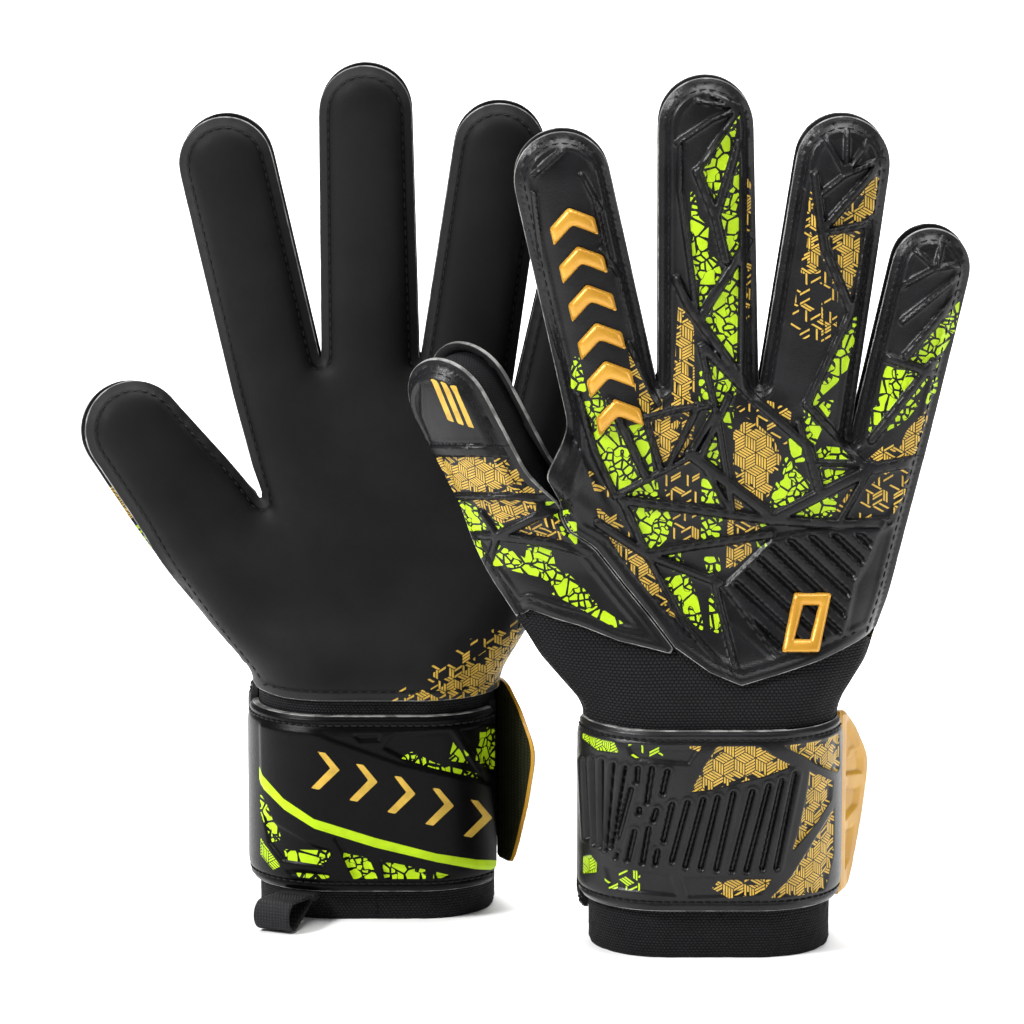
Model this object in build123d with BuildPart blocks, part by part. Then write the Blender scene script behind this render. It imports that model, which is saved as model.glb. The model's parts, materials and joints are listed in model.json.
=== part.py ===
"""A pair of goalkeeper gloves, standing on their open cuffs with the fingers up.

Each glove is cut from flat sheets: a latex palm, an embossed backhand and a thumb panel, joined by side
gussets, over a knit wrist and a tubular elastic cuff that a hook-and-loop strap closes. The left glove shows
its palm towards -Y and the right glove its back. All lengths are in millimetres.

Inside one glove, u runs across the hand (the thumb is at -u), v is the height along it, and t is the depth
towards the back of the hand, measured from the middle of the glove. The cuff's hem is below v = 0.
"""

import os
from math import cos, hypot, radians, sin

from build123d import *

# The pair on the floor
PAIR_SPACING = 108.7  # between the two wrists, along X
THUMB_REACH = 96.5  # from the wrist's middle to the thumb side's furthest point
LITTLE_REACH = 81.5  # from the wrist's middle to the little finger's furthest point
DEPTH_OFFSET = 24.0  # of each glove's middle from the pair's middle, along Y

# Wrist and cuff
HEM = -6.0  # the height v of the floor that the cuff stands on
WRIST_HALF_WIDTH = 39.0  # outside of the knit cuff
WRIST_HALF_DEPTH = 26.5
WRIST_CORNER = 25.0
CUFF_WALL = 2.5
CUFF_TOP = 72.0

# Hand
HEEL_TOP = 112.0  # where the rounded heel becomes the flat hand
HEEL_RIGHT = 57.0  # its little finger side there
HEEL_WALL = 5.0
HEEL_CORNER = 6.0
HEEL_LIP = 2.0  # how far the heel stands out from the cuff
PALM_OUT, PALM_IN = -13.0, -7.0  # latex and foam palm, as depths t
BACK_IN, BACK_OUT = 8.0, 13.0  # embossed foam back
LINING = 1.0

# Seams and gussets
SEAM_ALLOWANCE = 3.5
GUSSET = 1.5
LINING_INSET = 5.2

# Strap
STRAP_BOTTOM, STRAP_TOP = 10.0, 69.0  # of the free half, on the back
FIXED_BOTTOM, FIXED_TOP = 4.0, 63.0  # of the sewn half, on the palm side
STRAP_OUT = 4.5  # the strap's outer face, from the cuff's
FREE_GAP = 0.5  # under the free half of the strap
FREE_START = 0.4  # depth t where the free half begins, at the thumb side
FREE_END = 2.7  # depth t where it ends, at the little finger's side
FIXED_END = -12.0  # depth t where the sewn half ends, at the little finger's side
LOOP_PATCH = 0.45
HOOK_IN, HOOK_OUT = 0.8, 1.8
PATCH_BOTTOM, PATCH_TOP = 15.0, 64.0

# Pull tab
TAB_ROOT = 2.4
TAB_FLARE = 12.0  # how far the tab leans away from the wrist at its tip
TAB_REACH = 22.0
TAB_THICKNESS = 3.6
TAB_BOTTOM, TAB_TOP = 8.0, 70.0

# Pull loop
LOOP_ANGLE = 24.0  # round the wrist from the middle of the palm side, towards the thumb
LOOP_WIDTH = 13.0
LOOP_WALL = 1.1
LOOP_ROOT, LOOP_ROOT_RADIUS = (6.5, 2.2), 1.5  # out from the cuff's face, and height
LOOP_TIP, LOOP_TIP_RADIUS = (18.6, -0.5), 5.0
TAIL_END = 4.7  # the loop's two sewn ends, out from the cuff's face
TAIL_BOTTOM, TAIL_TOP = 1.2, 3.6

# Raised badges
BADGE_RISE = 1.2
BADGE_CENTRE = (30.0, 102.0)
CHEVRONS = 6
CHEVRON_PITCH = 12.5


class Finger:
    """A finger stall: two circles, at its root and its tip, and the hull round them."""

    def __init__(self, root, root_radius, tip, tip_radius):
        self.root, self.root_radius = root, root_radius
        self.tip, self.tip_radius = tip, tip_radius
        length = hypot(tip[0] - root[0], tip[1] - root[1])
        self.along = ((tip[0] - root[0]) / length, (tip[1] - root[1]) / length)

    def beyond(self, distance=60):
        """A point on the stall's axis, past its tip."""
        return (
            self.tip[0] + self.along[0] * distance,
            self.tip[1] + self.along[1] * distance,
        )


INDEX = Finger((-29.4, 164.7), 16.2, (-48.0, 242.0), 15.4)
MIDDLE = Finger((-2.0, 165.0), 15.8, (-2.6, 259.0), 15.2)
RING = Finger((28.4, 164.0), 15.4, (40.8, 247.0), 15.0)
LITTLE = Finger((56.5, 158.0), 12.0, (69.0, 214.2), 12.5)


class Glove:
    """Where one glove stands, which way its back faces (the sign of Y), and how its thumb lies."""

    def __init__(self, name, x, y, back, heel_left, crotch, thumb):
        self.name, self.x, self.y, self.back = name, x, y, back
        self.heel_left, self.crotch, self.thumb = heel_left, crotch, thumb
        self.fingers = [thumb, INDEX, MIDDLE, RING, LITTLE]

    def point(self, u, t, v):
        """A point of this glove in the pair's frame."""
        return (self.x + u, self.y + self.back * t, v - HEM)


LEFT_X = (THUMB_REACH - LITTLE_REACH - PAIR_SPACING) / 2
LEFT = Glove(
    "left", LEFT_X, DEPTH_OFFSET, 1, -73.0, (-37.0, 129.0),
    Finger((-45.6, 106.0), 20.0, (-80.0, 153.0), 16.5),
)
RIGHT = Glove(
    "right", LEFT_X + PAIR_SPACING, -DEPTH_OFFSET, -1, -69.0, (-45.0, 139.0),
    Finger((-50.0, 118.0), 20.0, (-80.0, 172.0), 16.5),
)


def save(built, node):
    """Writes one sub-part, labelled with its node's name."""
    built.part.label = node
    export_step(built.part, f"parts/{node}.step")


# Flat sheets, in the plane of the hand


def depth_plane(glove, t):
    """The plane of the hand at depth t, with u and v as its own x and y."""
    return Plane(origin=glove.point(0, t, 0), x_dir=(1, 0, 0), z_dir=(0, -1, 0))


def sheet(glove, sketch, t_from, t_to):
    """A flat sheet with that outline, between two depths."""
    with BuildPart() as flat:
        with BuildSketch(depth_plane(glove, t_from)):
            add(sketch)
        extrude(amount=-glove.back * (t_to - t_from))
    return flat.part


def polygon(*points):
    with BuildSketch() as shape:
        with BuildLine():
            Polyline(*points, close=True)
        make_face()
    return shape.sketch


def stall(finger):
    with BuildSketch() as shape:
        with Locations(finger.root):
            Circle(finger.root_radius)
        with Locations(finger.tip):
            Circle(finger.tip_radius)
        make_hull()
    return shape.sketch


def hand_outline(glove):
    """The hand with its four fingers and thumb, run on below the heel's top so that it can be inset."""
    with BuildSketch() as outline:
        with BuildLine():
            Polyline(
                (glove.heel_left, HEEL_TOP), glove.crotch, (-47, 168), (-17, 178), (14.6, 176),
                (43.5, 158), (68.3, 158), (62, 131), (HEEL_RIGHT, HEEL_TOP),
                (HEEL_RIGHT, HEEL_TOP - 30), (glove.heel_left, HEEL_TOP - 30), close=True,
            )
        make_face()
        for finger in glove.fingers:
            add(stall(finger))
    return outline.sketch


def hand_part(outline, distance=0):
    """The outline above the heel, inset by a distance all round except across the wrist."""
    with BuildSketch() as smaller:
        add(outline)
        if distance:
            offset(amount=-distance, mode=Mode.REPLACE)
        with Locations((0, HEEL_TOP - 100)):
            Rectangle(400, 200, mode=Mode.SUBTRACT)
    return smaller.sketch


def thumb_side(glove):
    """Everything on the thumb's side of the seam between the backhand and the thumb panel."""
    return polygon((-34, HEEL_TOP), glove.crotch, (-62, 210), (-150, 210), (-150, HEEL_TOP))


# The heel, which turns the flat hand into the round wrist


def wrist_ring(out):
    """Width, depth and corner radius of the wrist's section, standing out from the cuff."""
    return 2 * (WRIST_HALF_WIDTH + out), 2 * (WRIST_HALF_DEPTH + out), WRIST_CORNER + out


def heel_loft(glove, wrist_out, left, right, t_low, t_high, corner):
    """A solid that runs from the wrist's section up to a rectangle at the hand."""
    with BuildPart() as loft_body:
        with BuildSketch(Plane(origin=glove.point(0, 0, CUFF_TOP))):
            RectangleRounded(*wrist_ring(wrist_out))
        with BuildSketch(Plane(origin=glove.point(0, 0, HEEL_TOP))):
            with Locations(((left + right) / 2, glove.back * (t_low + t_high) / 2)):
                RectangleRounded(right - left, t_high - t_low, corner)
        loft()
    return loft_body.part


def heel_shell(glove):
    with BuildPart() as shell:
        add(heel_loft(glove, HEEL_LIP, glove.heel_left, HEEL_RIGHT, PALM_OUT, BACK_OUT, HEEL_CORNER))
        left, right = glove.heel_left + HEEL_WALL, HEEL_RIGHT - HEEL_WALL
        add(heel_loft(glove, -1, left, right, PALM_IN, BACK_IN, 2), mode=Mode.SUBTRACT)
    return shell.part


def half_space(glove, t_from, t_to):
    """A block across the whole glove between two depths."""
    return sheet(glove, polygon((-150, -20), (150, -20), (150, 320), (-150, 320)), t_from, t_to)


def tongue(glove):
    """The pointed lower end of the backhand, over the heel."""
    return sheet(
        glove,
        polygon((-34, 130), (-34, HEEL_TOP), (-12, 86), (9, 76), (62, 91), (62, 130)),
        0, 60,
    )


def thumb_heel(glove):
    """The thumb panel's lower end, over the heel."""
    return sheet(
        glove, polygon((-90, 130), (-90, 110), (-58, 102), (-12, 86), (-34, HEEL_TOP), (-34, 130)),
        0, 60,
    )


def build_hand(glove, outline):
    """Palm, backhand, thumb panel, knit panel and the two linings."""
    shell = heel_shell(glove)
    back_reach = half_space(glove, 0, 60)

    with BuildPart() as palm:
        add(sheet(glove, hand_part(outline), PALM_OUT, PALM_IN))
        add(shell & half_space(glove, -60, 0))
    save(palm, f"{glove.name}_palm")

    with BuildPart() as backhand:
        add(sheet(glove, hand_part(outline) - thumb_side(glove), BACK_IN, BACK_OUT))
        add(shell & back_reach & tongue(glove))
    save(backhand, f"{glove.name}_backhand")

    with BuildPart() as thumb_panel:
        add(sheet(glove, hand_part(outline) & thumb_side(glove), BACK_IN, BACK_OUT))
        add(shell & back_reach & thumb_heel(glove))
    save(thumb_panel, f"{glove.name}_thumb_panel")

    with BuildPart() as knit:
        add((shell & back_reach) - tongue(glove) - thumb_heel(glove))
    save(knit, f"{glove.name}_knit_panel")

    lining_outline = hand_part(outline, LINING_INSET)
    with BuildPart() as palm_lining:
        add(sheet(glove, lining_outline, PALM_IN, PALM_IN + LINING))
    save(palm_lining, f"{glove.name}_palm_lining")

    with BuildPart() as back_lining:
        add(sheet(glove, lining_outline, BACK_IN - LINING, BACK_IN))
    save(back_lining, f"{glove.name}_back_lining")


def build_gussets(glove, outline):
    """One strip down each gap between two fingers, and one down each outer side of the hand."""
    wall = hand_part(outline, SEAM_ALLOWANCE) - hand_part(outline, SEAM_ALLOWANCE + GUSSET)
    thumb, index, middle, ring, little = glove.fingers
    thumb_crotch = (glove.crotch[0] + 14, glove.crotch[1] - 14)
    gaps = {
        "thumb_outer": [thumb.beyond(), thumb.root, (-30, 90), (-150, 90), (-150, 250)],
        "thumb_index": [thumb.beyond(), thumb.root, thumb_crotch, index.root, index.beyond()],
        "index_middle": [index.beyond(), index.root, middle.root, middle.beyond()],
        "middle_ring": [middle.beyond(), middle.root, ring.root, ring.beyond()],
        "ring_little": [ring.beyond(), ring.root, (44, 145), little.root, little.beyond()],
        "little_outer": [little.beyond(), little.root, (30, 90), (150, 90), (150, 280)],
    }
    for gap, corners in gaps.items():
        with BuildPart() as gusset:
            add(sheet(glove, wall & polygon(*corners), PALM_IN, BACK_IN))
        save(gusset, f"{glove.name}_gusset_{gap}")


# Tubes and bands round the wrist


def band(glove, inner, outer, bottom, top):
    """A band round the wrist between two distances from the cuff's outer face."""
    with BuildPart() as ring:
        with BuildSketch(Plane(origin=glove.point(0, 0, bottom))):
            RectangleRounded(*wrist_ring(outer))
            RectangleRounded(*wrist_ring(inner), mode=Mode.SUBTRACT)
        extrude(amount=top - bottom)
    return ring.part


def window(glove, u_from, u_to, t_from, t_to):
    """An upright block, used to cut a band to its length."""
    with BuildPart() as block:
        with BuildSketch(Plane(origin=glove.point(0, 0, -20))):
            with Locations(((u_from + u_to) / 2, glove.back * (t_from + t_to) / 2)):
                Rectangle(u_to - u_from, t_to - t_from)
        extrude(amount=150)
    return block.part


def build_wrist(glove):
    """Elastic cuff, both halves of the strap and the two closure patches."""
    with BuildPart() as cuff:
        add(band(glove, -CUFF_WALL, 0, HEM, CUFF_TOP))
    save(cuff, f"{glove.name}_wrist_cuff")

    with BuildPart() as fixed:
        add(band(glove, 0, STRAP_OUT, FIXED_BOTTOM, FIXED_TOP) & window(glove, -80, 80, -60, 0))
        add(window(glove, 0, 80, FIXED_END, 1), mode=Mode.SUBTRACT)
    save(fixed, f"{glove.name}_strap_fixed")

    free_band = band(glove, FREE_GAP, STRAP_OUT, STRAP_BOTTOM, STRAP_TOP)
    patch_window = window(glove, 20, 80, FREE_END, 20)
    hook_seat = band(glove, -1, HOOK_OUT, PATCH_BOTTOM, PATCH_TOP) & patch_window
    with BuildPart() as free:
        add(free_band & window(glove, -80, 80, FREE_START, 60))
        add(window(glove, 0, 80, -10, FREE_END), mode=Mode.SUBTRACT)
        add(hook_seat, mode=Mode.SUBTRACT)
    save(free, f"{glove.name}_strap_free")

    with BuildPart() as hook:
        add(band(glove, HOOK_IN, HOOK_OUT, PATCH_BOTTOM, PATCH_TOP) & patch_window)
    save(hook, f"{glove.name}_hook_patch")

    soft_side = window(glove, 10, 80, FIXED_END + 0.5, 20)
    with BuildPart() as patch:
        add(band(glove, 0, LOOP_PATCH, PATCH_BOTTOM, PATCH_TOP) & soft_side)
    save(patch, f"{glove.name}_loop_patch")


def build_tab(glove):
    """The moulded pull tab: a root across the strap's end, and a blade that leans away from the wrist."""
    inner = WRIST_HALF_WIDTH + FREE_GAP
    outer = WRIST_HALF_WIDTH + STRAP_OUT
    tip = inner + TAB_FLARE
    from_the_side = Plane(
        origin=glove.point(0, 0, 0), x_dir=(0, -glove.back, 0), z_dir=(-glove.back, 0, 0)
    )
    with BuildPart() as tab:
        with BuildSketch(Plane(origin=glove.point(0, 0, TAB_BOTTOM))):
            with BuildLine():
                Polyline(
                    (inner, glove.back * TAB_ROOT), (outer, glove.back * TAB_ROOT), (outer, 0),
                    (tip + TAB_THICKNESS, -glove.back * TAB_REACH), (tip, -glove.back * TAB_REACH),
                    (inner, 0), close=True,
                )
            make_face()
        extrude(amount=TAB_TOP - TAB_BOTTOM)
        with BuildSketch(from_the_side):
            with BuildLine():
                Polyline(
                    (-TAB_ROOT - 1, TAB_BOTTOM), (-TAB_ROOT - 1, TAB_TOP), (3, TAB_TOP), (15, 62),
                    (TAB_REACH, 51), (TAB_REACH, 44), (8, TAB_BOTTOM), close=True,
                )
            make_face()
        extrude(amount=100, both=True, mode=Mode.INTERSECT)
    save(tab, f"{glove.name}_pull_tab")


def build_loop(glove):
    """The webbing pull loop below the strap on the palm side, and its two sewn ends."""
    angle = radians(LOOP_ANGLE)
    root = glove.point(
        -(WRIST_HALF_WIDTH - WRIST_CORNER) - WRIST_CORNER * sin(angle),
        -(WRIST_HALF_DEPTH - WRIST_CORNER) - WRIST_CORNER * cos(angle), 0,
    )
    outward = Vector(-sin(angle), -glove.back * cos(angle), 0)
    side_view = Plane(origin=root, x_dir=outward, z_dir=outward.cross(Vector(0, 0, 1)))
    with BuildPart() as loop:
        with BuildSketch(side_view):
            add(stall(Finger(LOOP_ROOT, LOOP_ROOT_RADIUS, LOOP_TIP, LOOP_TIP_RADIUS)))
            hollow = Finger(LOOP_ROOT, LOOP_ROOT_RADIUS - LOOP_WALL, LOOP_TIP, LOOP_TIP_RADIUS - LOOP_WALL)
            add(stall(hollow), mode=Mode.SUBTRACT)
        extrude(amount=LOOP_WIDTH / 2, both=True)
    save(loop, f"{glove.name}_pull_loop")

    with BuildPart() as tail:
        with BuildSketch(side_view):
            with Locations(((TAIL_END - 3) / 2, (TAIL_BOTTOM + TAIL_TOP) / 2)):
                Rectangle(TAIL_END + 3, TAIL_TOP - TAIL_BOTTOM)
        extrude(amount=LOOP_WIDTH / 2, both=True)
        add(band(glove, -10, 0, 0, CUFF_TOP), mode=Mode.SUBTRACT)
    save(tail, f"{glove.name}_loop_tail")


# Raised badges


def chevron(finger, forward):
    """A solid arrowhead on a finger's axis that points to the fingertip."""
    u, v = finger.along
    points = [(-7.5, -5), (0, 0), (7.5, -5), (7.5, 1), (0, 6), (-7.5, 1)]
    return polygon(*[
        (
            finger.root[0] + v * across + u * (forward + ahead),
            finger.root[1] - u * across + v * (forward + ahead),
        )
        for across, ahead in points
    ])


def build_badges(glove):
    """Six chevrons up the index finger, and a rhombic ring on the back of the hand."""
    with BuildPart() as chevrons:
        for n in range(CHEVRONS):
            add(sheet(glove, chevron(INDEX, 3 + n * CHEVRON_PITCH), BACK_OUT, BACK_OUT + BADGE_RISE))
    save(chevrons, f"{glove.name}_index_badge")

    run = HEEL_TOP - CUFF_TOP
    rise = WRIST_HALF_DEPTH + HEEL_LIP - BACK_OUT
    slope = hypot(run, rise)
    u, v = BADGE_CENTRE
    t = BACK_OUT + rise * (HEEL_TOP - v) / run
    facing = Plane(
        origin=glove.point(u, t, v), x_dir=(1, 0, 0), z_dir=(0, glove.back * run / slope, rise / slope)
    )
    with BuildPart() as ring:
        with BuildSketch(facing):
            add(polygon((-8, -9), (4, -9), (8, 9), (-4, 9)))
            add(polygon((-3.5, -4.5), (1.5, -4.5), (3.5, 4.5), (-1.5, 4.5)), mode=Mode.SUBTRACT)
        extrude(amount=BADGE_RISE)
    save(ring, f"{glove.name}_back_badge")


def build_glove(glove):
    outline = hand_outline(glove)
    build_hand(glove, outline)
    build_gussets(glove, outline)
    build_wrist(glove)
    build_tab(glove)
    build_loop(glove)
    build_badges(glove)


os.makedirs("parts", exist_ok=True)
for pair_member in (LEFT, RIGHT):
    build_glove(pair_member)
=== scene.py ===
"""Visual model of a pair of goalkeeper gloves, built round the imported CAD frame.

Each glove is worked out flat, as it is cut: u runs across the hand (thumb at -u) and v up it, both in
millimetres from the middle of the wrist. A third number t is the depth towards the back of the hand. place()
turns the three into the frame's metres, and curls the fingers and rolls the thumb on the way.
"""

import json
import math

import bpy
import numpy as np
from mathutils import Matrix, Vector
from mathutils.geometry import delaunay_2d_cdt

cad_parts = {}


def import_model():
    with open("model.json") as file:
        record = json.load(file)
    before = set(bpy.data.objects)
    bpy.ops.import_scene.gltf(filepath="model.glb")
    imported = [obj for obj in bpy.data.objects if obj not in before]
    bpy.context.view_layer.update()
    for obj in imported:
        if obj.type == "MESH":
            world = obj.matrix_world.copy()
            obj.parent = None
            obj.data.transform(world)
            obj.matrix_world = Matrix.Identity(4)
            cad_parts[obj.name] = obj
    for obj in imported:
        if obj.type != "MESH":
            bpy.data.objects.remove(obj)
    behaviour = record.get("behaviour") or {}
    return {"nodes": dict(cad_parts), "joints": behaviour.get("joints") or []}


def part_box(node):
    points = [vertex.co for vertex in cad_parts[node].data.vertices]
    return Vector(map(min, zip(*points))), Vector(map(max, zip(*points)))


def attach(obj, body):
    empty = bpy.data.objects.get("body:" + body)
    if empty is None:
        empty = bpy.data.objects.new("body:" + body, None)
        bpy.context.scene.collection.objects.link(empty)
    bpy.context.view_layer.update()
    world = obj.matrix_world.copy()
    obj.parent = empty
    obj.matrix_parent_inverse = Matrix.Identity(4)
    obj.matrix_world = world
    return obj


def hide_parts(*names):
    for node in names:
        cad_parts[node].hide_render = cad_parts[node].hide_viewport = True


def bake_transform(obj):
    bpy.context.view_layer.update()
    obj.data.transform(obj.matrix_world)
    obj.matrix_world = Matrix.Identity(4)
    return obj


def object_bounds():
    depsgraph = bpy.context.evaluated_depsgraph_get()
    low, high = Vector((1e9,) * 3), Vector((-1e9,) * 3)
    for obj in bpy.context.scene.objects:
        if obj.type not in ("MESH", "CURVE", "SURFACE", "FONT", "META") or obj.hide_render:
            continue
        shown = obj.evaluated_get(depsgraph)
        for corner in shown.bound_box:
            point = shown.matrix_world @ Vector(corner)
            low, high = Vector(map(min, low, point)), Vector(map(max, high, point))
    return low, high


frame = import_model()
CAD_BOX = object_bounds()
MM = 0.001

# Wrist: the cuff's rounded rectangle and the heights along it
HEM = -6.0
HALF_WIDTH, HALF_DEPTH, CORNER = 39.0, 26.5, 25.0
CUFF_TOP = 72.0
FREE_STRAP = (10.0, 69.0)
FIXED_STRAP = (4.0, 63.0)
RING_OFFSET = 2.5  # the strap's middle, out from the cuff, where lengths round the wrist are measured

# Finger stalls: root, radius, tip, radius
INDEX = ((-29.4, 164.7), 16.2, (-48.0, 242.0), 15.4)
MIDDLE = ((-2.0, 165.0), 15.8, (-2.6, 259.0), 15.2)
RING = ((28.4, 164.0), 15.4, (40.8, 247.0), 15.0)
LITTLE = ((56.5, 158.0), 12.0, (69.0, 214.2), 12.5)
LEFT_THUMB = ((-45.6, 106.0), 20.0, (-80.0, 153.0), 16.5)
RIGHT_THUMB = ((-50.0, 118.0), 20.0, (-80.0, 172.0), 16.5)


def smooth(x):
    x = np.clip(x, 0, 1)
    return x * x * (3 - 2 * x)


def resample(ring, step, closed=True):
    """Points at even steps along a line."""
    line = np.array(ring, float)
    if closed:
        line = np.vstack([line, line[:1]])
    length = np.concatenate([[0], np.cumsum(np.hypot(*np.diff(line, axis=0).T))])
    count = max(3, int(round(length[-1] / step)))
    at = np.linspace(0, length[-1], count + 1)
    line = np.stack([np.interp(at, length, line[:, k]) for k in (0, 1)], 1)
    return line[:-1] if closed else line


def soften(ring, sigma):
    """A closed ring of even steps with its corners rounded; sigma is in steps."""
    reach = int(3 * sigma) + 1
    weights = np.exp(-0.5 * (np.arange(-reach, reach + 1) / sigma) ** 2)
    weights /= weights.sum()
    return sum(w * np.roll(ring, k, 0) for w, k in zip(weights, range(-reach, reach + 1)))


def directions(line):
    """Unit tangents of a line of points."""
    tangent = np.gradient(line, axis=0)
    return tangent / np.hypot(*tangent.T)[:, None]


def rightward(tangent):
    return np.stack([tangent[:, 1], -tangent[:, 0]], 1)


def signed_distance(points, ring, chunk=3000):
    """Distance to a closed ring, positive inside it."""
    a = np.array(ring, float)
    ab = np.roll(a, -1, 0) - a
    size = np.maximum((ab**2).sum(1), 1e-9)
    rise = np.where(np.abs(ab[:, 1]) < 1e-9, 1e-9, ab[:, 1])
    found = np.empty(len(points))
    for i in range(0, len(points), chunk):
        x = points[i:i + chunk, 0, None] - a[:, 0]
        y = points[i:i + chunk, 1, None] - a[:, 1]
        t = np.clip((x * ab[:, 0] + y * ab[:, 1]) / size, 0, 1)
        square = (x - t * ab[:, 0]) ** 2 + (y - t * ab[:, 1]) ** 2
        crossed = ((y < 0) != (y < ab[:, 1])) & (x < ab[:, 0] * y / rise)
        inside = crossed.sum(1) % 2 == 1
        found[i:i + chunk] = np.where(inside, 1, -1) * np.sqrt(square.min(1))
    return found


class Field:
    """signed_distance() of one ring, read from a grid."""

    STEP, MARGIN = 1.0, 4.0

    def __init__(self, ring):
        self.low = ring.min(0) - self.MARGIN
        self.count = np.ceil((ring.max(0) + self.MARGIN - self.low) / self.STEP).astype(int) + 1
        axes = [self.low[k] + self.STEP * np.arange(self.count[k]) for k in (0, 1)]
        grid = np.stack(np.meshgrid(*axes, indexing="ij"), -1).reshape(-1, 2)
        self.values = signed_distance(grid, resample(ring, 2.0)).reshape(self.count)

    def __call__(self, points):
        at = np.clip((points - self.low) / self.STEP, 0, self.count - 1.001)
        i, j = at.astype(int).T
        x, y = (at - at.astype(int)).T
        g = self.values
        return ((1 - x) * (1 - y) * g[i, j] + x * (1 - y) * g[i + 1, j]
                + (1 - x) * y * g[i, j + 1] + x * y * g[i + 1, j + 1])


def fill(ring, inside, step):
    """Points and triangles that fill a closed ring evenly."""
    low, high = ring.min(0), ring.max(0)
    rows = []
    for k, v in enumerate(np.arange(low[1], high[1], step * 0.866)):
        u = np.arange(low[0] + (k % 2) * step / 2, high[0], step)
        rows.append(np.stack([u, np.full_like(u, v)], 1))
    grid = np.concatenate(rows)
    grid = grid[inside(grid) > 0.5 * step]
    edge = resample(ring, step)
    count = len(edge)
    points = [Vector(p) for p in np.vstack([edge, grid])]
    edges = [(i, (i + 1) % count) for i in range(count)]
    found = delaunay_2d_cdt(points, edges, [], 1, 1e-5, False)
    flat = np.array([p[:] for p in found[0]])
    faces = np.array([f for f in found[2] if len(f) == 3])
    a, b, c = (flat[faces[:, k]] for k in range(3))
    area = (b[:, 0] - a[:, 0]) * (c[:, 1] - a[:, 1]) - (b[:, 1] - a[:, 1]) * (c[:, 0] - a[:, 0])
    faces[area < 0] = faces[area < 0][:, ::-1]
    centres = (a + b + c) / 3
    depth = inside(centres)
    kept = depth > 0
    unsure = np.abs(depth) < 0.6  # too near the ring to trust the grid
    kept[unsure] = signed_distance(centres[unsure], edge) > 0
    return flat, faces[kept & (np.abs(area) > 1e-9)]


def grid_faces(rows, columns):
    """Quads of a grid of points, counted row by row."""
    i, j = np.meshgrid(np.arange(rows - 1), np.arange(columns - 1), indexing="ij")
    k = (i * columns + j).ravel()
    return np.stack([k, k + 1, k + columns + 1, k + columns], 1)


def tube_faces(rings, around, caps=True, wrap=False):
    """Quads between rings of points, and a cap at each end; wrap joins the last ring to the first instead."""
    faces = []
    for i in range(rings if wrap else rings - 1):
        here, there = i * around, (i + 1) % rings * around
        for k in range(around):
            beside = (k + 1) % around
            faces.append([here + k, here + beside, there + beside, there + k])
    if caps:
        faces += [list(range(around))[::-1], list(range((rings - 1) * around, rings * around))]
    return faces


# The cuff's ring


def wrist(along, out, side=1):
    """(u, t) on the wrist's section. along is the length round it from the middle of the back, or with side -1
    from the middle of the palm; out is the distance from the cuff's face."""
    along = np.asarray(along, float)
    across, flat = np.sign(along), HALF_WIDTH - CORNER
    arc = math.pi / 2 * (CORNER + RING_OFFSET)
    rest = np.abs(along)
    angle = np.clip((rest - flat) / (CORNER + RING_OFFSET), 0, math.pi / 2)
    u = np.minimum(rest, flat) + (CORNER + out) * np.sin(angle)
    t = HALF_DEPTH - CORNER + (CORNER + out) * np.cos(angle)
    down = np.maximum(rest - flat - arc, 0)
    return across * u, side * (t - down)


def seen_drop(v, t):
    """How much lower a point drawn from the front looks for standing t nearer, at height v."""
    return t * (0.185 + 0.00062 * (132 - v))


# Gloves


def axis_of(finger):
    """A stall's root, the direction along it and the one across it."""
    root, _, tip, _ = finger
    along = np.subtract(tip, root) / math.dist(tip, root)
    return np.array(root), along, np.array([along[1], -along[0]])


def tip_arc(finger):
    """Points round a stall's tip, clockwise, a little more than half a circle."""
    _, along, _ = axis_of(finger)
    (tu, tv), radius = finger[2:]
    angles = math.atan2(along[1], along[0]) + np.radians(np.linspace(95, -95, 15))
    return [(tu + radius * math.cos(a), tv + radius * math.sin(a)) for a in angles]


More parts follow.
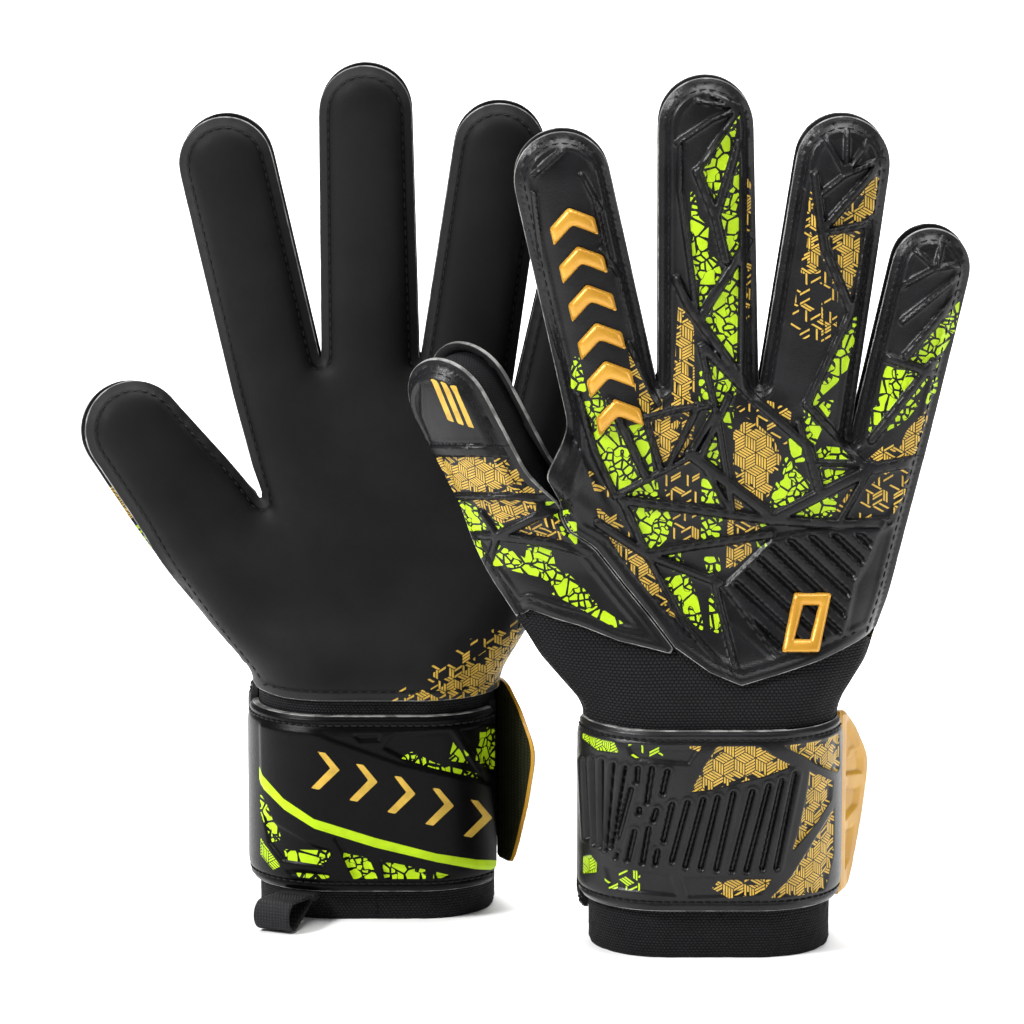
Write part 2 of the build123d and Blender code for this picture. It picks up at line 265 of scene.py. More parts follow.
class Glove:
    """Where one glove stands and what it is cut to. heel is the outline's u at the thumb's root, crotch the point
    between thumb and index finger, roll the thumb's turn in degrees, seam_top the upper end of the back's seam."""

    def __init__(self, name, heel, crotch, thumb, roll, seam_top):
        self.name, self.crotch, self.thumb, self.roll = name, crotch, thumb, math.radians(roll)
        low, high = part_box(f"{name}_wrist_cuff")
        self.x, self.y, self.floor = (low.x + high.x) / 2 / MM, (low.y + high.y) / 2 / MM, low.z / MM
        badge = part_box(f"{name}_back_badge")
        self.back = 1 if (badge[0].y + badge[1].y) / 2 / MM > self.y else -1
        self.body, self.strap_body, self.loop_body = f"{name}_glove", f"{name}_strap", f"{name}_loop"
        self.fingers = [thumb, INDEX, MIDDLE, RING, LITTLE]
        ring = [(-41, 30), (-41, 72), (-54.8, 88), (heel, 112), *tip_arc(thumb), crotch, (-46.5, 166),
                *tip_arc(INDEX), (-17.5, 176), *tip_arc(MIDDLE), (14.6, 176), *tip_arc(RING),
                (43.5, 158.5), *tip_arc(LITTLE), (68.2, 156), (62, 131), (56.5, 108), (50, 87), (41, 72),
                (41, 30)]
        self.outline = soften(resample(ring, 1.0), 1.7)
        self.inset = Field(self.outline)
        self.seam_top = seam_top

    def bent(self, u, v, t):
        """The same point once the thumb is rolled and the fingers curl."""
        root, along, across = axis_of(self.thumb)
        s = (u - root[0]) * along[0] + (v - root[1]) * along[1]
        r = (u - root[0]) * across[0] + (v - root[1]) * across[1]
        turn = self.roll * smooth((s + 2) / 38) * (1 - smooth((r - 20) / 6))
        shift = r * np.cos(turn) - t * np.sin(turn) - r
        t = r * np.sin(turn) + t * np.cos(turn)
        curl = (4 + 0.03 * u) * np.maximum((v - 150) / 120, 0) ** 2
        return u + shift * across[0], v + shift * across[1], t - curl

    def world(self, u, v, t):
        """The frame's points for the glove's own lengths."""
        return np.stack([self.x + u, self.y + self.back * t, self.floor + v - HEM], -1) * MM

    def place(self, flat, t):
        """The frame's points for points of the hand."""
        return self.world(*self.bent(flat[:, 0], flat[:, 1], np.asarray(t, float)))

    def crown(self, flat):
        """Distance of the outer face from the middle of the glove: a puffed hand, round at the wrist."""
        d, v = np.maximum(self.inset(flat), 0), flat[:, 1]
        hand = smooth((v - CUFF_TOP) / 46)
        lip = 1.5 + 6 * smooth((v - 90) / 26)
        rise, reach = 27 - 21.5 * hand, 27 - 14 * hand
        x = np.clip((d - 2.2 * hand) / reach, 0, 1)
        return lip + rise * np.sqrt(1 - (1 - x) ** 2)

    def nearest(self, point):
        return int(np.hypot(*(self.outline - point).T).argmin())

    def edge(self, start, end, inset=0.0, step=1.0):
        """The outline from the point nearest start, clockwise, to the one nearest end."""
        a, b = self.nearest(start), self.nearest(end)
        line = np.roll(self.outline, -a, 0)[:(b - a) % len(self.outline) + 1]
        if inset:
            line = line + inset * rightward(directions(line))
            line = line[self.inset(line) > 0.97 * inset]
        return resample(line, step, closed=False)


LEFT = Glove("left", -73.0, (-37.0, 129.0), LEFT_THUMB, 14, [(-37.2, 127.5), (-33, 121)])
RIGHT = Glove("right", -69.0, (-45.0, 139.0), RIGHT_THUMB, 42, [(-43.5, 131.5), (-37, 125)])


def drawn(glove, flat, t):
    """Where the points are in a front view of the right glove's back. The left glove's thumb is read as if it
    lay as the right one's does."""
    if glove is LEFT:
        root, along, across = axis_of(LEFT.thumb)
        s, r = (flat - root) @ along, (flat - root) @ across
        root, along, across = axis_of(RIGHT.thumb)
        moved = root + s[:, None] * along + r[:, None] * across
        share = smooth((s + 2) / 12) * (1 - smooth((r - 18) / 8))
        flat = flat + share[:, None] * (moved - flat)
    u, v, t = RIGHT.bent(flat[:, 0], flat[:, 1], t)
    return np.stack([u, v - seen_drop(v, t)], 1)


# Facets of the embossed back, as they look from the front

CELLS = [
    [(-39, 176), (-34.5, 170), (-29, 158), (-22, 146), (-30, 141.5), (-35, 149), (-38, 160)],
    [(-27.5, 161.5), (-22, 162.5), (-20.5, 153), (-19.5, 146), (-21.5, 147), (-25, 153)],
    [(-1.2, 167), (0.8, 161), (1.5, 152), (3.5, 144.5), (-1.5, 146.5), (-3.2, 152), (-3.6, 158)],
    [(-18.5, 145), (-17.5, 139), (-23, 138.5), (-28, 139.5), (-22, 143)],
    [(-3, 144.5), (3, 142), (5, 137.5), (-3, 138)],
    [(24.5, 158.5), (27.5, 160), (29.5, 151.5), (25.5, 151)],
    [(29, 169), (38, 170), (34, 162), (31.5, 156), (30.5, 157), (29.5, 163)],
    [(23.5, 151.5), (30.5, 143), (31, 139.5), (18.5, 136), (20.5, 143)],
    [(32, 152), (35, 155), (42, 154.5), (46, 151), (34, 151)],
    [(32.5, 148.5), (41.5, 148.5), (40.5, 145), (34, 140.5)],
    [(50, 161), (51, 168), (57, 170), (65, 170), (61, 165), (54, 160)],
    [(23.5, 133), (30, 137.5), (39, 140), (38.5, 134), (32, 131.5)],
    [(-27, 134), (-22, 136), (-15.5, 135.5), (-13.5, 131), (-14, 127), (-19, 122), (-24, 126)],
    [(-3, 134), (2.5, 133.5), (2, 124), (-3, 125)],
    [(15, 131.5), (18, 131.5), (16, 129)],
    [(14.5, 125.5), (18.5, 125), (15, 123)],
    [(-14, 119.5), (-10, 120.5), (-9.5, 116), (-12.5, 115.5)],
    [(-2, 119), (1.5, 119), (2, 115.5), (-1, 115)],
    [(-15, 112), (-8, 113.5), (-4, 102), (-3, 96), (-6, 98.5), (-11, 105)],
    [(-0.5, 107), (2, 104), (2.5, 95), (0, 96)],
    [(2, 169), (6, 168), (5.5, 162), (2.5, 166)],
    # index, middle, ring, little
    [(-43.5, 185.5), (-42.5, 181), (-41, 174), (-44.5, 175), (-44.5, 180)],
    [(-41.5, 170.5), (-39.5, 169.5), (-39.3, 163.5), (-41, 167)],
    [(7.8, 265), (6.5, 258), (4, 250), (2.8, 242), (-0.3, 229), (-5.8, 241.5)],
    [(6.5, 249), (8, 246), (8, 224), (6, 217), (4.5, 216), (1.5, 224), (3, 233), (4.5, 240)],
    [(-7, 237), (-5.5, 229), (-2.5, 226), (-3, 219), (0.5, 215), (1.8, 211), (-1, 205), (-4.5, 201.5),
     (-5, 205), (-6, 214), (-7, 228)],
    [(7, 214), (7.8, 206), (7, 190), (7, 183), (5, 182), (-1, 191), (-4.5, 195.5), (0, 202), (3, 207)],
    [(-2.7, 188), (2, 181), (6.5, 177.5), (6.5, 172), (4.5, 170), (1.5, 171), (-0.5, 176)],
    [(-4, 180), (-3, 175), (-2, 170), (-4, 170)],
    [(45, 201), (44, 190), (41.5, 180), (39, 177), (30, 169), (32, 174), (35, 182), (40, 190)],
    [(77.5, 203.5), (76.5, 194), (72.5, 187), (70, 181), (62.5, 184), (68, 190)],
    [(56, 184), (63, 182), (68, 178.5), (65, 174), (60, 168.5), (53, 170), (54, 177)],
    [(70.8, 181), (71, 175), (68, 170), (70, 177)],
    # thumb
    [(-96.3, 160.9), (-93.6, 155.5), (-89.3, 148), (-85.5, 141), (-87.7, 141), (-90.9, 145.8), (-94.7, 154.4)],
    [(-87.2, 139), (-82.3, 138), (-73.2, 133.6), (-66.5, 128.4), (-70, 127.8), (-78.5, 128), (-82.3, 128),
     (-85.5, 133)],
    [(-82, 125.8), (-74, 124.8), (-73.2, 121), (-75.5, 116.5), (-79.5, 121.5)],
    [(-70, 123.8), (-64.5, 121), (-53.7, 114.8), (-53.2, 113.3), (-62.4, 115.4), (-71, 117.8)],
    [(-58.6, 123.2), (-51.6, 121), (-50.5, 116), (-48, 113.5), (-52.7, 112.2), (-59.1, 119)],
    [(-51.6, 112), (-46.2, 113.5), (-40.8, 108.1), (-36.5, 102.7), (-29, 97.6), (-31.1, 97.3), (-37.6, 101),
     (-44, 104.5), (-50.5, 107.8)],
    [(-52.7, 137.2), (-46.7, 138), (-46.2, 134), (-50, 132.6)],
    [(-48.6, 131.5), (-44, 130.5), (-43.8, 124.5), (-47.3, 127.5)],
]
HATCH = [
    [(-20.5, 163.5), (-17, 165.5), (-6, 167.5), (-6, 163), (-9.5, 154), (-15, 149), (-17.5, 151), (-20, 158)],
    [(7, 160), (10, 163), (14, 162), (18.5, 158), (21, 152), (19, 144), (15.5, 136), (14, 136), (9, 142),
     (7, 150)],
    [(50, 151.5), (57.5, 158), (61.5, 151.5), (56, 150)],
    [(58, 151.5), (64, 154), (68.5, 167.5), (62, 160.5)],
    [(5.5, 133), (13, 132), (14.5, 129.5), (11, 127), (5.2, 125)],
    [(5.2, 123), (11.5, 124), (12, 121.5), (5, 115.5)],
    [(-36.5, 135), (-32, 131), (-27, 124), (-22.5, 118.5), (-17, 111), (-10, 99.5), (-13, 101), (-20, 109),
     (-26, 116.5), (-31, 124), (-34.5, 130)],
    [(-26.5, 186.5), (-23, 178), (-20, 172), (-16, 170.5), (-15.5, 167), (-20.5, 165), (-23, 170), (-25, 177)],
    [(-10.7, 200.5), (-7, 194), (-6.5, 168), (-13, 168), (-11.5, 185)],
    [(9.5, 243), (11, 240), (11, 226), (9.5, 224)],
    [(31.3, 241), (32.5, 225), (33, 212), (28, 212), (29, 224)],
    [(51.8, 245), (50, 232), (48.5, 227.5), (37, 226), (41, 231), (46, 238)],
    [(36, 223), (45.5, 225.5), (45, 215), (42, 203), (40, 208), (38, 216)],
    [(-88.8, 151.2), (-66.1, 151.2), (-62.9, 148), (-59.7, 142.6), (-55, 140.4), (-67.8, 140.6), (-82.9, 140.6),
     (-86.1, 145.8)],
    [(-76.4, 138), (-57, 138), (-57, 134.6), (-67.8, 131), (-73, 134.4)],
]
DASHES = [
    [(-7, 158), (-5, 148), (-9, 150.5)],
    [(-16, 149), (-5, 147), (-5, 138), (-14, 139)],
    [(8, 168), (17, 170), (24, 167), (23, 157), (19, 158), (13, 164)],
    [(45, 132), (49, 141), (58, 149.5), (62.5, 149), (61.5, 142), (57, 134)],
    [(40, 135), (45.5, 143), (46, 139), (42, 134)],
    [(-12, 134), (-5, 134), (-5, 126), (-12, 126)],
    [(-37, 138), (-33, 136), (-26, 125.5), (-29.5, 123), (-35, 129)],
    [(-39, 147), (-33, 140), (-36.5, 139.5)],
    [(5, 139), (10, 136), (6, 135.5)],
    [(33, 212), (34, 190), (24.5, 192), (28, 212)],
    [(35, 218), (38.5, 209), (38, 190), (36, 190)],
    [(9.5, 222), (11.5, 222), (10.5, 195), (9.5, 195)],
    [(-62.4, 131), (-56, 133.5), (-49, 131), (-48.8, 124.6), (-57, 126), (-63.5, 128)],
]
# Hollows without a print
PLAIN = [
    [(-90.5, 184.5), (-84, 184.5), (-75.5, 168), (-68, 157.5), (-89.5, 157.5), (-92.5, 165.5), (-92.5, 178)],
    [(5.5, 97), (8.5, 81), (19, 84.5)],
    [(53, 128), (58, 131), (60, 138), (56, 132)],
]
# Straight raised ribs: half width, then the line's points
TIP_MIDDLE, TIP_RING, TIP_LITTLE, THUMB_STAR = (7.8, 264.5), (41.4, 243.2), (70, 213.2), (-68.8, 126.4)
RIBS = [
    (1.0, [(-29, 138.3), (18.5, 131.8), (40, 130.4), (56.2, 131)]), (1.3, [(-7.4, 153.4), (17.4, 134)]),
    (1.0, [(-3.1, 187.9), (13.1, 171), (30.3, 155.5), (33.6, 142.6)]),
    (0.4, [(-31.1, 139.4), (-7.4, 152.3), (0.2, 166)]), (0.5, [(-21.4, 164.7), (-12, 167.6), (0.2, 169)]),
    (1.3, [(18.5, 131.8), (49.7, 148.3), (66, 151.2)]), (0.6, [(49.7, 148), (40, 130.7)]),
    (0.5, [(27.1, 163.1), (33.6, 140.4)]), (0.5, [(31.4, 150.4), (50.8, 150)]), (0.7, [(29.3, 169.5), (48.7, 149)]),
    (0.9, [(-20.9, 120.5), (-8, 123), (18.5, 127.2)]), (0.9, [(-36.5, 130.7), (-20.9, 120.5), (2.3, 111.3)]),
    (0.7, [(-28.9, 138.3), (-20.9, 120.5)]), (0.5, [(-20.9, 120.5), (-8.8, 97.5), (6, 80.5)]),
    (0.5, [(0.2, 113.5), (7.2, 84)]),
    (0.5, [(-5.2, 153.4), (5.5, 135)]), (0.7, [(5, 172), (-4.2, 152.3)]),
    (0.5, [(-4.1, 187.9), (1.2, 165.2), (6, 135.2)]), (0.6, [(-43, 172), (-37.5, 153.4), (-31, 139.4)]),
    (0.8, [(-32.5, 170), (-21, 145)]), (0.5, [(-21.8, 165), (-16.5, 148)]), (0.5, [(-4.6, 169), (-14.5, 148.5)]),
    # middle finger
    (0.3, [TIP_MIDDLE, (-5.7, 266.6)]), (0.3, [TIP_MIDDLE, (-1, 260.5), (-11.9, 253.1)]),
    (0.4, [TIP_MIDDLE, (-5.6, 243.8)]), (0.3, [TIP_MIDDLE, (-4, 270)]),
    (0.9, [(-5.6, 244), (0.3, 229.5), (3.6, 215.8)]), (0.8, [(7.4, 253), (0.3, 229.5)]),
    (0.9, [(10.9, 222), (-4.6, 197)]), (0.9, [(-11.9, 209.6), (-8, 201), (10, 176)]),
    (0.4, [(-10.9, 252), (-11, 238), (-5.2, 196.5)]), (0.5, [(9, 250), (9, 212), (8.6, 180)]),
    # ring finger
    (0.3, [TIP_RING, (34.7, 255.2)]), (0.3, [TIP_RING, (41.8, 257)]), (0.3, [TIP_RING, (48.5, 254)]),
    (0.4, [TIP_RING, (52.3, 247.9)]), (0.3, [TIP_RING, (33, 236.5)]), (0.8, [(53, 247.5), (33.7, 225.1)]),
    (0.6, [(34.5, 224.6), (48.6, 227.2)]), (0.8, [(31.6, 243), (34.7, 220), (43.6, 199)]),
    (0.7, [(44.8, 202), (29.5, 169.1)]), (0.7, [(49, 227.5), (44.8, 200)]), (0.5, [(27.6, 238), (21.5, 196)]),
    # little finger
    (0.3, [TIP_LITTLE, (63.5, 219)]), (0.3, [TIP_LITTLE, (72.5, 223)]), (0.4, [TIP_LITTLE, (78, 214.5)]),
    (0.4, [(59.6, 196.1), (77, 210.6)]), (0.3, [(59, 207), TIP_LITTLE]), (0.8, [(77.6, 205), (61, 185)]),
    (0.9, [(53.5, 185), (69, 179.5)]), (0.8, [(69.5, 183), (50.3, 157.7)]),
    # index finger
    (0.4, [(-57, 237), (-53, 201.3), (-48.2, 184.7)]), (0.3, [(-42, 243), (-36, 232)]),
    (0.4, [(-35.4, 219), (-30, 211), (-26, 196)]), (0.4, [(-26.8, 189), (-17.4, 169.5)]),
    (0.3, [(-57, 243), (-48, 251)]), (0.3, [(-59, 225), (-53.5, 204)]), (0.3, [(-38, 236), (-33, 214)]),
    # thumb
    (1.3, [(-94, 154.2), (-64, 154.2)]), (0.5, [(-90, 139.4), (-54, 139.2)]), (0.7, [(-86, 126.9), THUMB_STAR]),
    (0.9, [THUMB_STAR, (-54, 134), (-46.2, 137.2)]), (0.9, [THUMB_STAR, (-52, 124.4), (-39.7, 121)]),
    (0.6, [THUMB_STAR, (-72.5, 114)]), (0.5, [(-74, 134.2), THUMB_STAR]),
]
PAD = [(2.5, 110), (18.5, 126.5), (31, 129), (55, 130), (51, 119), (46.5, 111), (43, 93), (20, 86), (5.5, 106)]
PAD_RIB, PAD_PITCH = (0.72, -0.69), 5.5
THUMB_BARS = [[(u, 164 - k), (u + 2.2, 163.2 - k), (u - 3.4, 177.2 - k), (u - 5.6, 178 - k)]
              for k, u in enumerate((-84.6, -81.4, -78.2))]

# The strap's back, as it looks from the front
STRAP_HATCH = [
    [(1, 57.5), (13, 58.5), (26, 51), (17, 47.5), (0, 43), (-7.5, 42), (-6, 45), (-3.5, 50)],
    [(20, 58.5), (41.5, 63), (42, 50), (40.5, 48.5), (34, 51), (27, 55)],
    [(31, 50), (39.5, 46), (39, 40), (34, 32), (25, 21.5), (28, 32), (30, 42)],
    [(40, 38), (40, 22), (37, 9), (17, 5.5), (25, 14), (33, 27)],
]
STRAP_GREEN = [
    [(-41.8, 66), (-33, 62.5), (-29.5, 55), (-37, 56), (-41.8, 60)],
    [(-41.4, 21), (-38.5, 21.6), (-36.5, 18.6), (-36.6, 15.2), (-41.4, 14.8)],
]
STRAP_BARS = [
    [(-29, 62.5), (-12, 60), (-2.5, 59), (-7.5, 51), (-24, 52.5), (-27, 55)],
    [(-35, 18), (-13, 15), (-10.5, 7), (-20, 8), (-33, 10)],
    [(-10.5, 14.5), (19, 14), (16, 8), (-8, 6)],
]
STRAP_BAR_GREEN = [
    [(-29, 62), (-15, 60), (-16, 53), (-26.5, 53.5)],
    [(-35, 18), (-23, 16), (-23, 9), (-34, 10)],
]
STRAP_BAR_GOLD = [[(-8, 60), (-2.5, 59), (-4.5, 55.5), (-9, 57)]]
STRAP_BAR_HATCH = [[(-0.5, 10), (2, 13), (19.5, 13.4), (16, 8), (5, 6.5)]]
# Slots pressed into the strap: from, to
STRAP_SLOTS = [
    ((-12.9, 38), (-15.6, 26.1)), ((-8, 38.7), (-12.9, 19.4)), ((-3, 39.7), (-8.6, 17.5)),
    ((1.6, 40.3), (-3.7, 17.1)), ((6.6, 41.7), (1.3, 16.5)), ((12.6, 42.3), (6.3, 16.1)),
    ((17.9, 44.3), (10.9, 16.1)), ((22.2, 46), (15.9, 16.8)), ((26.5, 48.3), (20.5, 17.1)),
    ((-24, 50), (-24.3, 46)), ((-19.5, 50), (-21, 39)), ((-14.5, 49), (-16, 42)), ((-26.2, 43), (-30.2, 27.7)),
    ((-23.5, 36.5), (-23.6, 35.5)), ((-18, 36), (-19, 33)), ((-25, 29), (-27, 20)), ((-20.5, 30), (-22.3, 19)),
    ((-17.5, 22.5), (-18.3, 18.5)), ((-30.5, 21.5), (-30.6, 20.5)),
    ((-41.3, 53), (-39.8, 27)), ((-38.6, 53), (-37.6, 25)), ((-35.4, 52.5), (-35.6, 24)),
    ((-31.8, 51.5), (-34, 23)), ((-28, 50.5), (-32.2, 24)),
]

# The strap's palm side, as it looks from the front of the left glove
BAND_STRIPE = [(-38.6, 35), (-37, 31.5), (-30, 24.5), (-20, 18), (0, 11.5), (20, 6.5), (33, 4), (42, 3.5),
               (42, 7.2), (33, 7.5), (20, 9.6), (0, 15), (-20, 21.5), (-30, 28.5), (-37, 36.5), (-38.6, 40)]
BAND_PLAIN = [
    [(2, 45.5), (6, 50.5), (25, 52), (37, 34), (20, 38), (10, 41)],
    [(27, 52), (40, 55), (40, 35), (37.5, 37)],
    [(-8, 50.3), (2.5, 50.3), (2, 47.6), (-5, 47.4)],
    [(-38, 24), (-33, 20), (-20, 12.5), (-13.5, 10.5), (-17, 4.5), (-31, 6.5), (-36, 13)],
    [(-11.5, 10), (-2, 8.2), (2, -1.5), (-6, -2.5), (-9, 4)],
    [(1, 7.5), (17, 4), (16.5, -3), (4, -3.5)],
    [(19, 3.6), (31, 1), (27, -2), (18.5, -2.5)],
    [(-31, 4.6), (-16, 2.8), (-10, -3), (-26, -1.5)],
]
BAND_CELLS = [
    [(8, 42), (12, 44.5), (20, 40.5), (34, 37), (36.5, 34.5), (20, 38.2)],
    [(24, 41), (26, 48.5), (31, 43.5), (31, 40)],
    [(32.5, 41), (35, 52), (39.8, 53.5), (39.8, 37)],
    [(-38.5, 31), (-36, 27), (-31, 14), (-35, 13), (-38.6, 24)],
    [(-31, 11), (-13.5, 10.5), (-17, 5), (-30, 7)],
    [(-11.5, 10), (-2, 8.2), (2, -1.5), (-6, -2.5), (-9, 4)],
    [(1, 7.5), (17, 4), (16.5, -3), (4, -3.5)],
    [(19, 3.6), (29, 1), (26, -2), (18.5, -2.5)],
    [(-27, 3), (-15, 2), (-10, -3), (-25, -1.5)],
]
BAND_RAISED = [(-39, 60), (-15, 49.5), (8, 41), (39, 33.5), (42, 3.5), (33, 4), (20, 6.5), (0, 11.5), (-20, 18),
               (-30, 24.5), (-38.6, 33)]
BAND_CREASE = ((-16, 20), (-5, 1))
BAND_GREEN = [[(-38.6, 16), (-36, 12), (-31, 5), (-34, 3.5), (-38.6, 9)]]


def band_marks():
    """Slanted gold arrowheads along the band."""
    marks = []
    for k in range(5):
        u, v = -21 + 12.4 * k, 38 - 4.1 * k
        marks.append([(u, v - 6), (u + 6.4, v + 0.8), (u + 2.2, v + 6.6), (u + 4.9, v + 6.1), (u + 9.6, v + 0.2),
                      (u + 2.8, v - 6.6)])
    return marks


def within(points, rings):
    """The largest signed distance into any of the rings."""
    found = np.full(len(points), -9.0)
    for ring in rings:
        ring = np.array(ring, float)
        near = np.all((points > ring.min(0) - 6) & (points < ring.max(0) + 6), 1)
        if near.any():
            found[near] = np.maximum(found[near], signed_distance(points[near], ring))
    return found


def from_line(points, start, end):
    """Distance from a segment."""
    a, ab = np.array(start, float), np.array(end, float) - start
    t = np.clip(((points - a) @ ab) / (ab @ ab), 0, 1)
    return np.hypot(*(points - a - t[:, None] * ab).T)


def from_ribs(at):
    """Distance from the nearest rib's flat top; below zero on it."""
    found = np.full(len(at), 99.0)
    for half, line in RIBS:
        for start, end in zip(line, line[1:]):
            found = np.minimum(found, from_line(at, start, end) - half)
    return found


HOLLOW, RIB_RISE, PLAIN_HEIGHT, PLAIN_BORDER = -0.95, 1.45, -0.6, 0.7


def emboss(at):
    """Height of the embossed face: hollows between flat-topped ribs, and no ribs where it stays plain."""
    rib, plain = from_ribs(at), within(at, PLAIN)
    height = HOLLOW + RIB_RISE * (1 - smooth((rib + 0.1) / 0.9)) - 0.15 * smooth(rib / 3)
    height = height + (PLAIN_HEIGHT - height) * smooth((plain + 0.6) / 1.2)
    return height + PLAIN_BORDER * np.exp(-(((plain + 0.4) / 0.7) ** 2))


def ribbed(at):
    """Height of the ribbed pad, and the share of it that a point has."""
    inside = signed_distance(at, PAD)
    across = at @ (-PAD_RIB[1], PAD_RIB[0])
    wave = 0.5 + 0.5 * np.cos(2 * np.pi * across / PAD_PITCH)
    ribs, border = -1.3 + 1.9 * smooth((wave - 0.04) / 0.5), 1 - smooth((inside - 1.6) / 1.2)
    return ribs * (1 - border) + 0.5 * border, smooth(inside / 1.4)


# Meshes


def make(name, points, faces, material, fields=None, sharp=48, under=None):
    """One object. fields are numbers or vectors for each point; under is a second material and the first and last
    of the faces that have it."""
    mesh = bpy.data.meshes.new(name)
    mesh.from_pydata(points.tolist(), [], [f.tolist() if hasattr(f, "tolist") else f for f in faces])
    for key, values in (fields or {}).items():
        values = np.asarray(values, np.float32)
        kind, slot = ("FLOAT", "value") if values.ndim == 1 else ("FLOAT_VECTOR", "vector")
        mesh.attributes.new(key, kind, "POINT").data.foreach_set(slot, values.ravel())
    mesh.shade_smooth()
    mesh.set_sharp_from_angle(angle=math.radians(sharp))
    mesh.materials.append(material)
    if under is not None:
        mesh.materials.append(under[0])
        index = np.zeros(len(mesh.polygons), np.int32)
        index[under[1]:under[2]] = 1
        mesh.polygons.foreach_set("material_index", index)
    piece = bpy.data.objects.new(name, mesh)
    bpy.context.scene.collection.objects.link(piece)
    return piece


def flat_field(flat):
    return np.column_stack([flat, np.zeros(len(flat))])


def closed(faces, count, away):
    """The faces of a sheet, those of its other side, whose points come count later, and the walls between their
    free edges. away says that the first side, counted anticlockwise as seen from -Y, looks to +Y."""
    sides = np.concatenate([np.stack([faces[:, k], np.roll(faces, -1, 1)[:, k]], 1) for k in range(faces.shape[1])])
    rim = sides[~np.isin(sides @ (count, 1), sides @ (1, count))]
    walls = np.stack([rim[:, 1], rim[:, 0], rim[:, 0] + count, rim[:, 1] + count], 1)
    return [part[:, ::-1] if away else part for part in (faces, faces[:, ::-1] + count, walls)]


def shell(name, faces, outer, inner, away, material, fields, lining=None):
    """A closed sheet between two faces of the same points."""
    doubled = {k: np.concatenate([v, v]) for k, v in fields.items()}
    second = None if lining is None else (lining, len(faces), 2 * len(faces))
    faces, under, walls = closed(faces, len(outer), away)
    return make(name, np.vstack([outer, inner]), [*faces, *under, *walls], material, doubled, under=second)


def over_hinge(piece, glove):
    """Reads the free strap's hinge and bakes the piece's transform; the piece is not bent."""
    x, y, z = next(j for j in frame["joints"] if j["name"] == f"{glove.name}_strap_open")["pos_m"]
    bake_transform(piece)


def own(piece, glove, node, body=None, sheet=None, blend=False):
    """Hides the CAD node that the piece stands for and puts the piece on its body; with blend it only bakes the
    piece's transform.
    """
    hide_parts(f"{glove.name}_{node}")
    if blend:
        over_hinge(piece, glove)
    else:
        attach(piece, body or glove.body)


def sewn(piece, glove, blend=False):
    """Puts a row of stitches on the glove's body; with blend it only bakes the row's transform."""
    if blend:
        over_hinge(piece, glove)
    else:
        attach(piece, glove.body)


STITCH_IN, STITCH_PITCH, STITCH_LONG, THREAD = 3.3, 3.1, 1.15, 0.34


class Panel:
    """One foam or knit sheet of the hand. side is 1 on the back and -1 on the palm; lift raises it above the hand's
    usual face; full and rim are its thickness, inside and at the ring it is cut to."""

    def __init__(self, glove, ring, step, side, lift, full, rim, relief=False, stitched=True):
        self.glove, self.side, self.lift, self.relief, self.stitched = glove, side, lift, relief, stitched
        self.full, self.rim = full, rim
        self.border = Field(ring)
        self.flat, self.faces = fill(ring, self.border, step)

    def base(self, flat):
        inset = np.maximum(self.glove.inset(flat), 0)
        return self.glove.crown(flat) + self.lift * smooth(inset / 6)

    def outer(self, flat):
        edge = np.maximum(self.border(flat), 0)
        height = self.base(flat) - 0.9 * (1 - smooth(edge / 1.5))
        if self.stitched:
            height = height - 0.55 * np.exp(-(((edge - STITCH_IN) / 0.8) ** 2))
        if self.relief:
            at = drawn(self.glove, flat, self.base(flat))
            height = height + self.emboss(at) * smooth((edge - 4.2) / 1.6)
        return height

    def emboss(self, at):
        ribs, share = ribbed(at)
        return emboss(at) * (1 - share) + ribs * share

    def inner(self, flat):
        edge = np.maximum(self.border(flat), 0)
        return np.maximum(self.base(flat) - self.rim - (self.full - self.rim) * smooth(edge / 8), 0.1)

    def build(self, name, material, fields=None):
        outer = np.maximum(self.outer(self.flat), self.inner(self.flat) + 0.5)
        place = self.glove.place
        fields = {"flat": flat_field(self.flat), "edge": np.maximum(self.border(self.flat), 0), **(fields or {})}
        return shell(name, self.faces, place(self.flat, self.side * outer),
                     place(self.flat, self.side * self.inner(self.flat)), self.side * self.glove.back > 0,
                     material, fields)

    def area(self):
        a, b, c = (self.flat[self.faces[:, k]] for k in range(3))
        (x, y), (z, w) = (b - a).T, (c - a).T
        return float(np.abs(x * w - y * z).sum()) / 2 * MM * MM

    def stitches(self, name, line):
        """A row of stitches on this panel's outer face."""
        line = resample(line, STITCH_PITCH, closed=False)
        return stitch_row(name, line, directions(line), lambda flat: self.side * (self.outer(flat) + 0.08),
                          self.glove.place)


def stitch_row(name, line, along, depth, place):
    """Small capsules along a flat line; depth gives each flat point's depth."""
    sides, rings = 6, ((-1.0, 0.15), (-0.8, 0.75), (0.0, 1.0), (0.8, 0.75), (1.0, 0.15))
    across, centre = rightward(along), depth(line)
    sign = np.where(centre < 0, -1.0, 1.0)
    flat, t = [], []
    for reach, radius in rings:
        for k in range(sides):
            a = 2 * math.pi * k / sides
            flat.append(line + along * STITCH_LONG * reach + across * THREAD * radius * math.cos(a))
            t.append(centre + sign * THREAD * radius * math.sin(a) - sign * 0.2 * reach * reach)
    points = place(np.stack(flat, 1).reshape(-1, 2), np.stack(t, 1).ravel())
    first = [n * sides * len(rings) for n in range(len(line))]
    faces = [[start + k for k in face] for start in first for face in tube_faces(len(rings), sides)]
    return make(name, points, faces, THREAD_BLACK, sharp=80)


# Materials


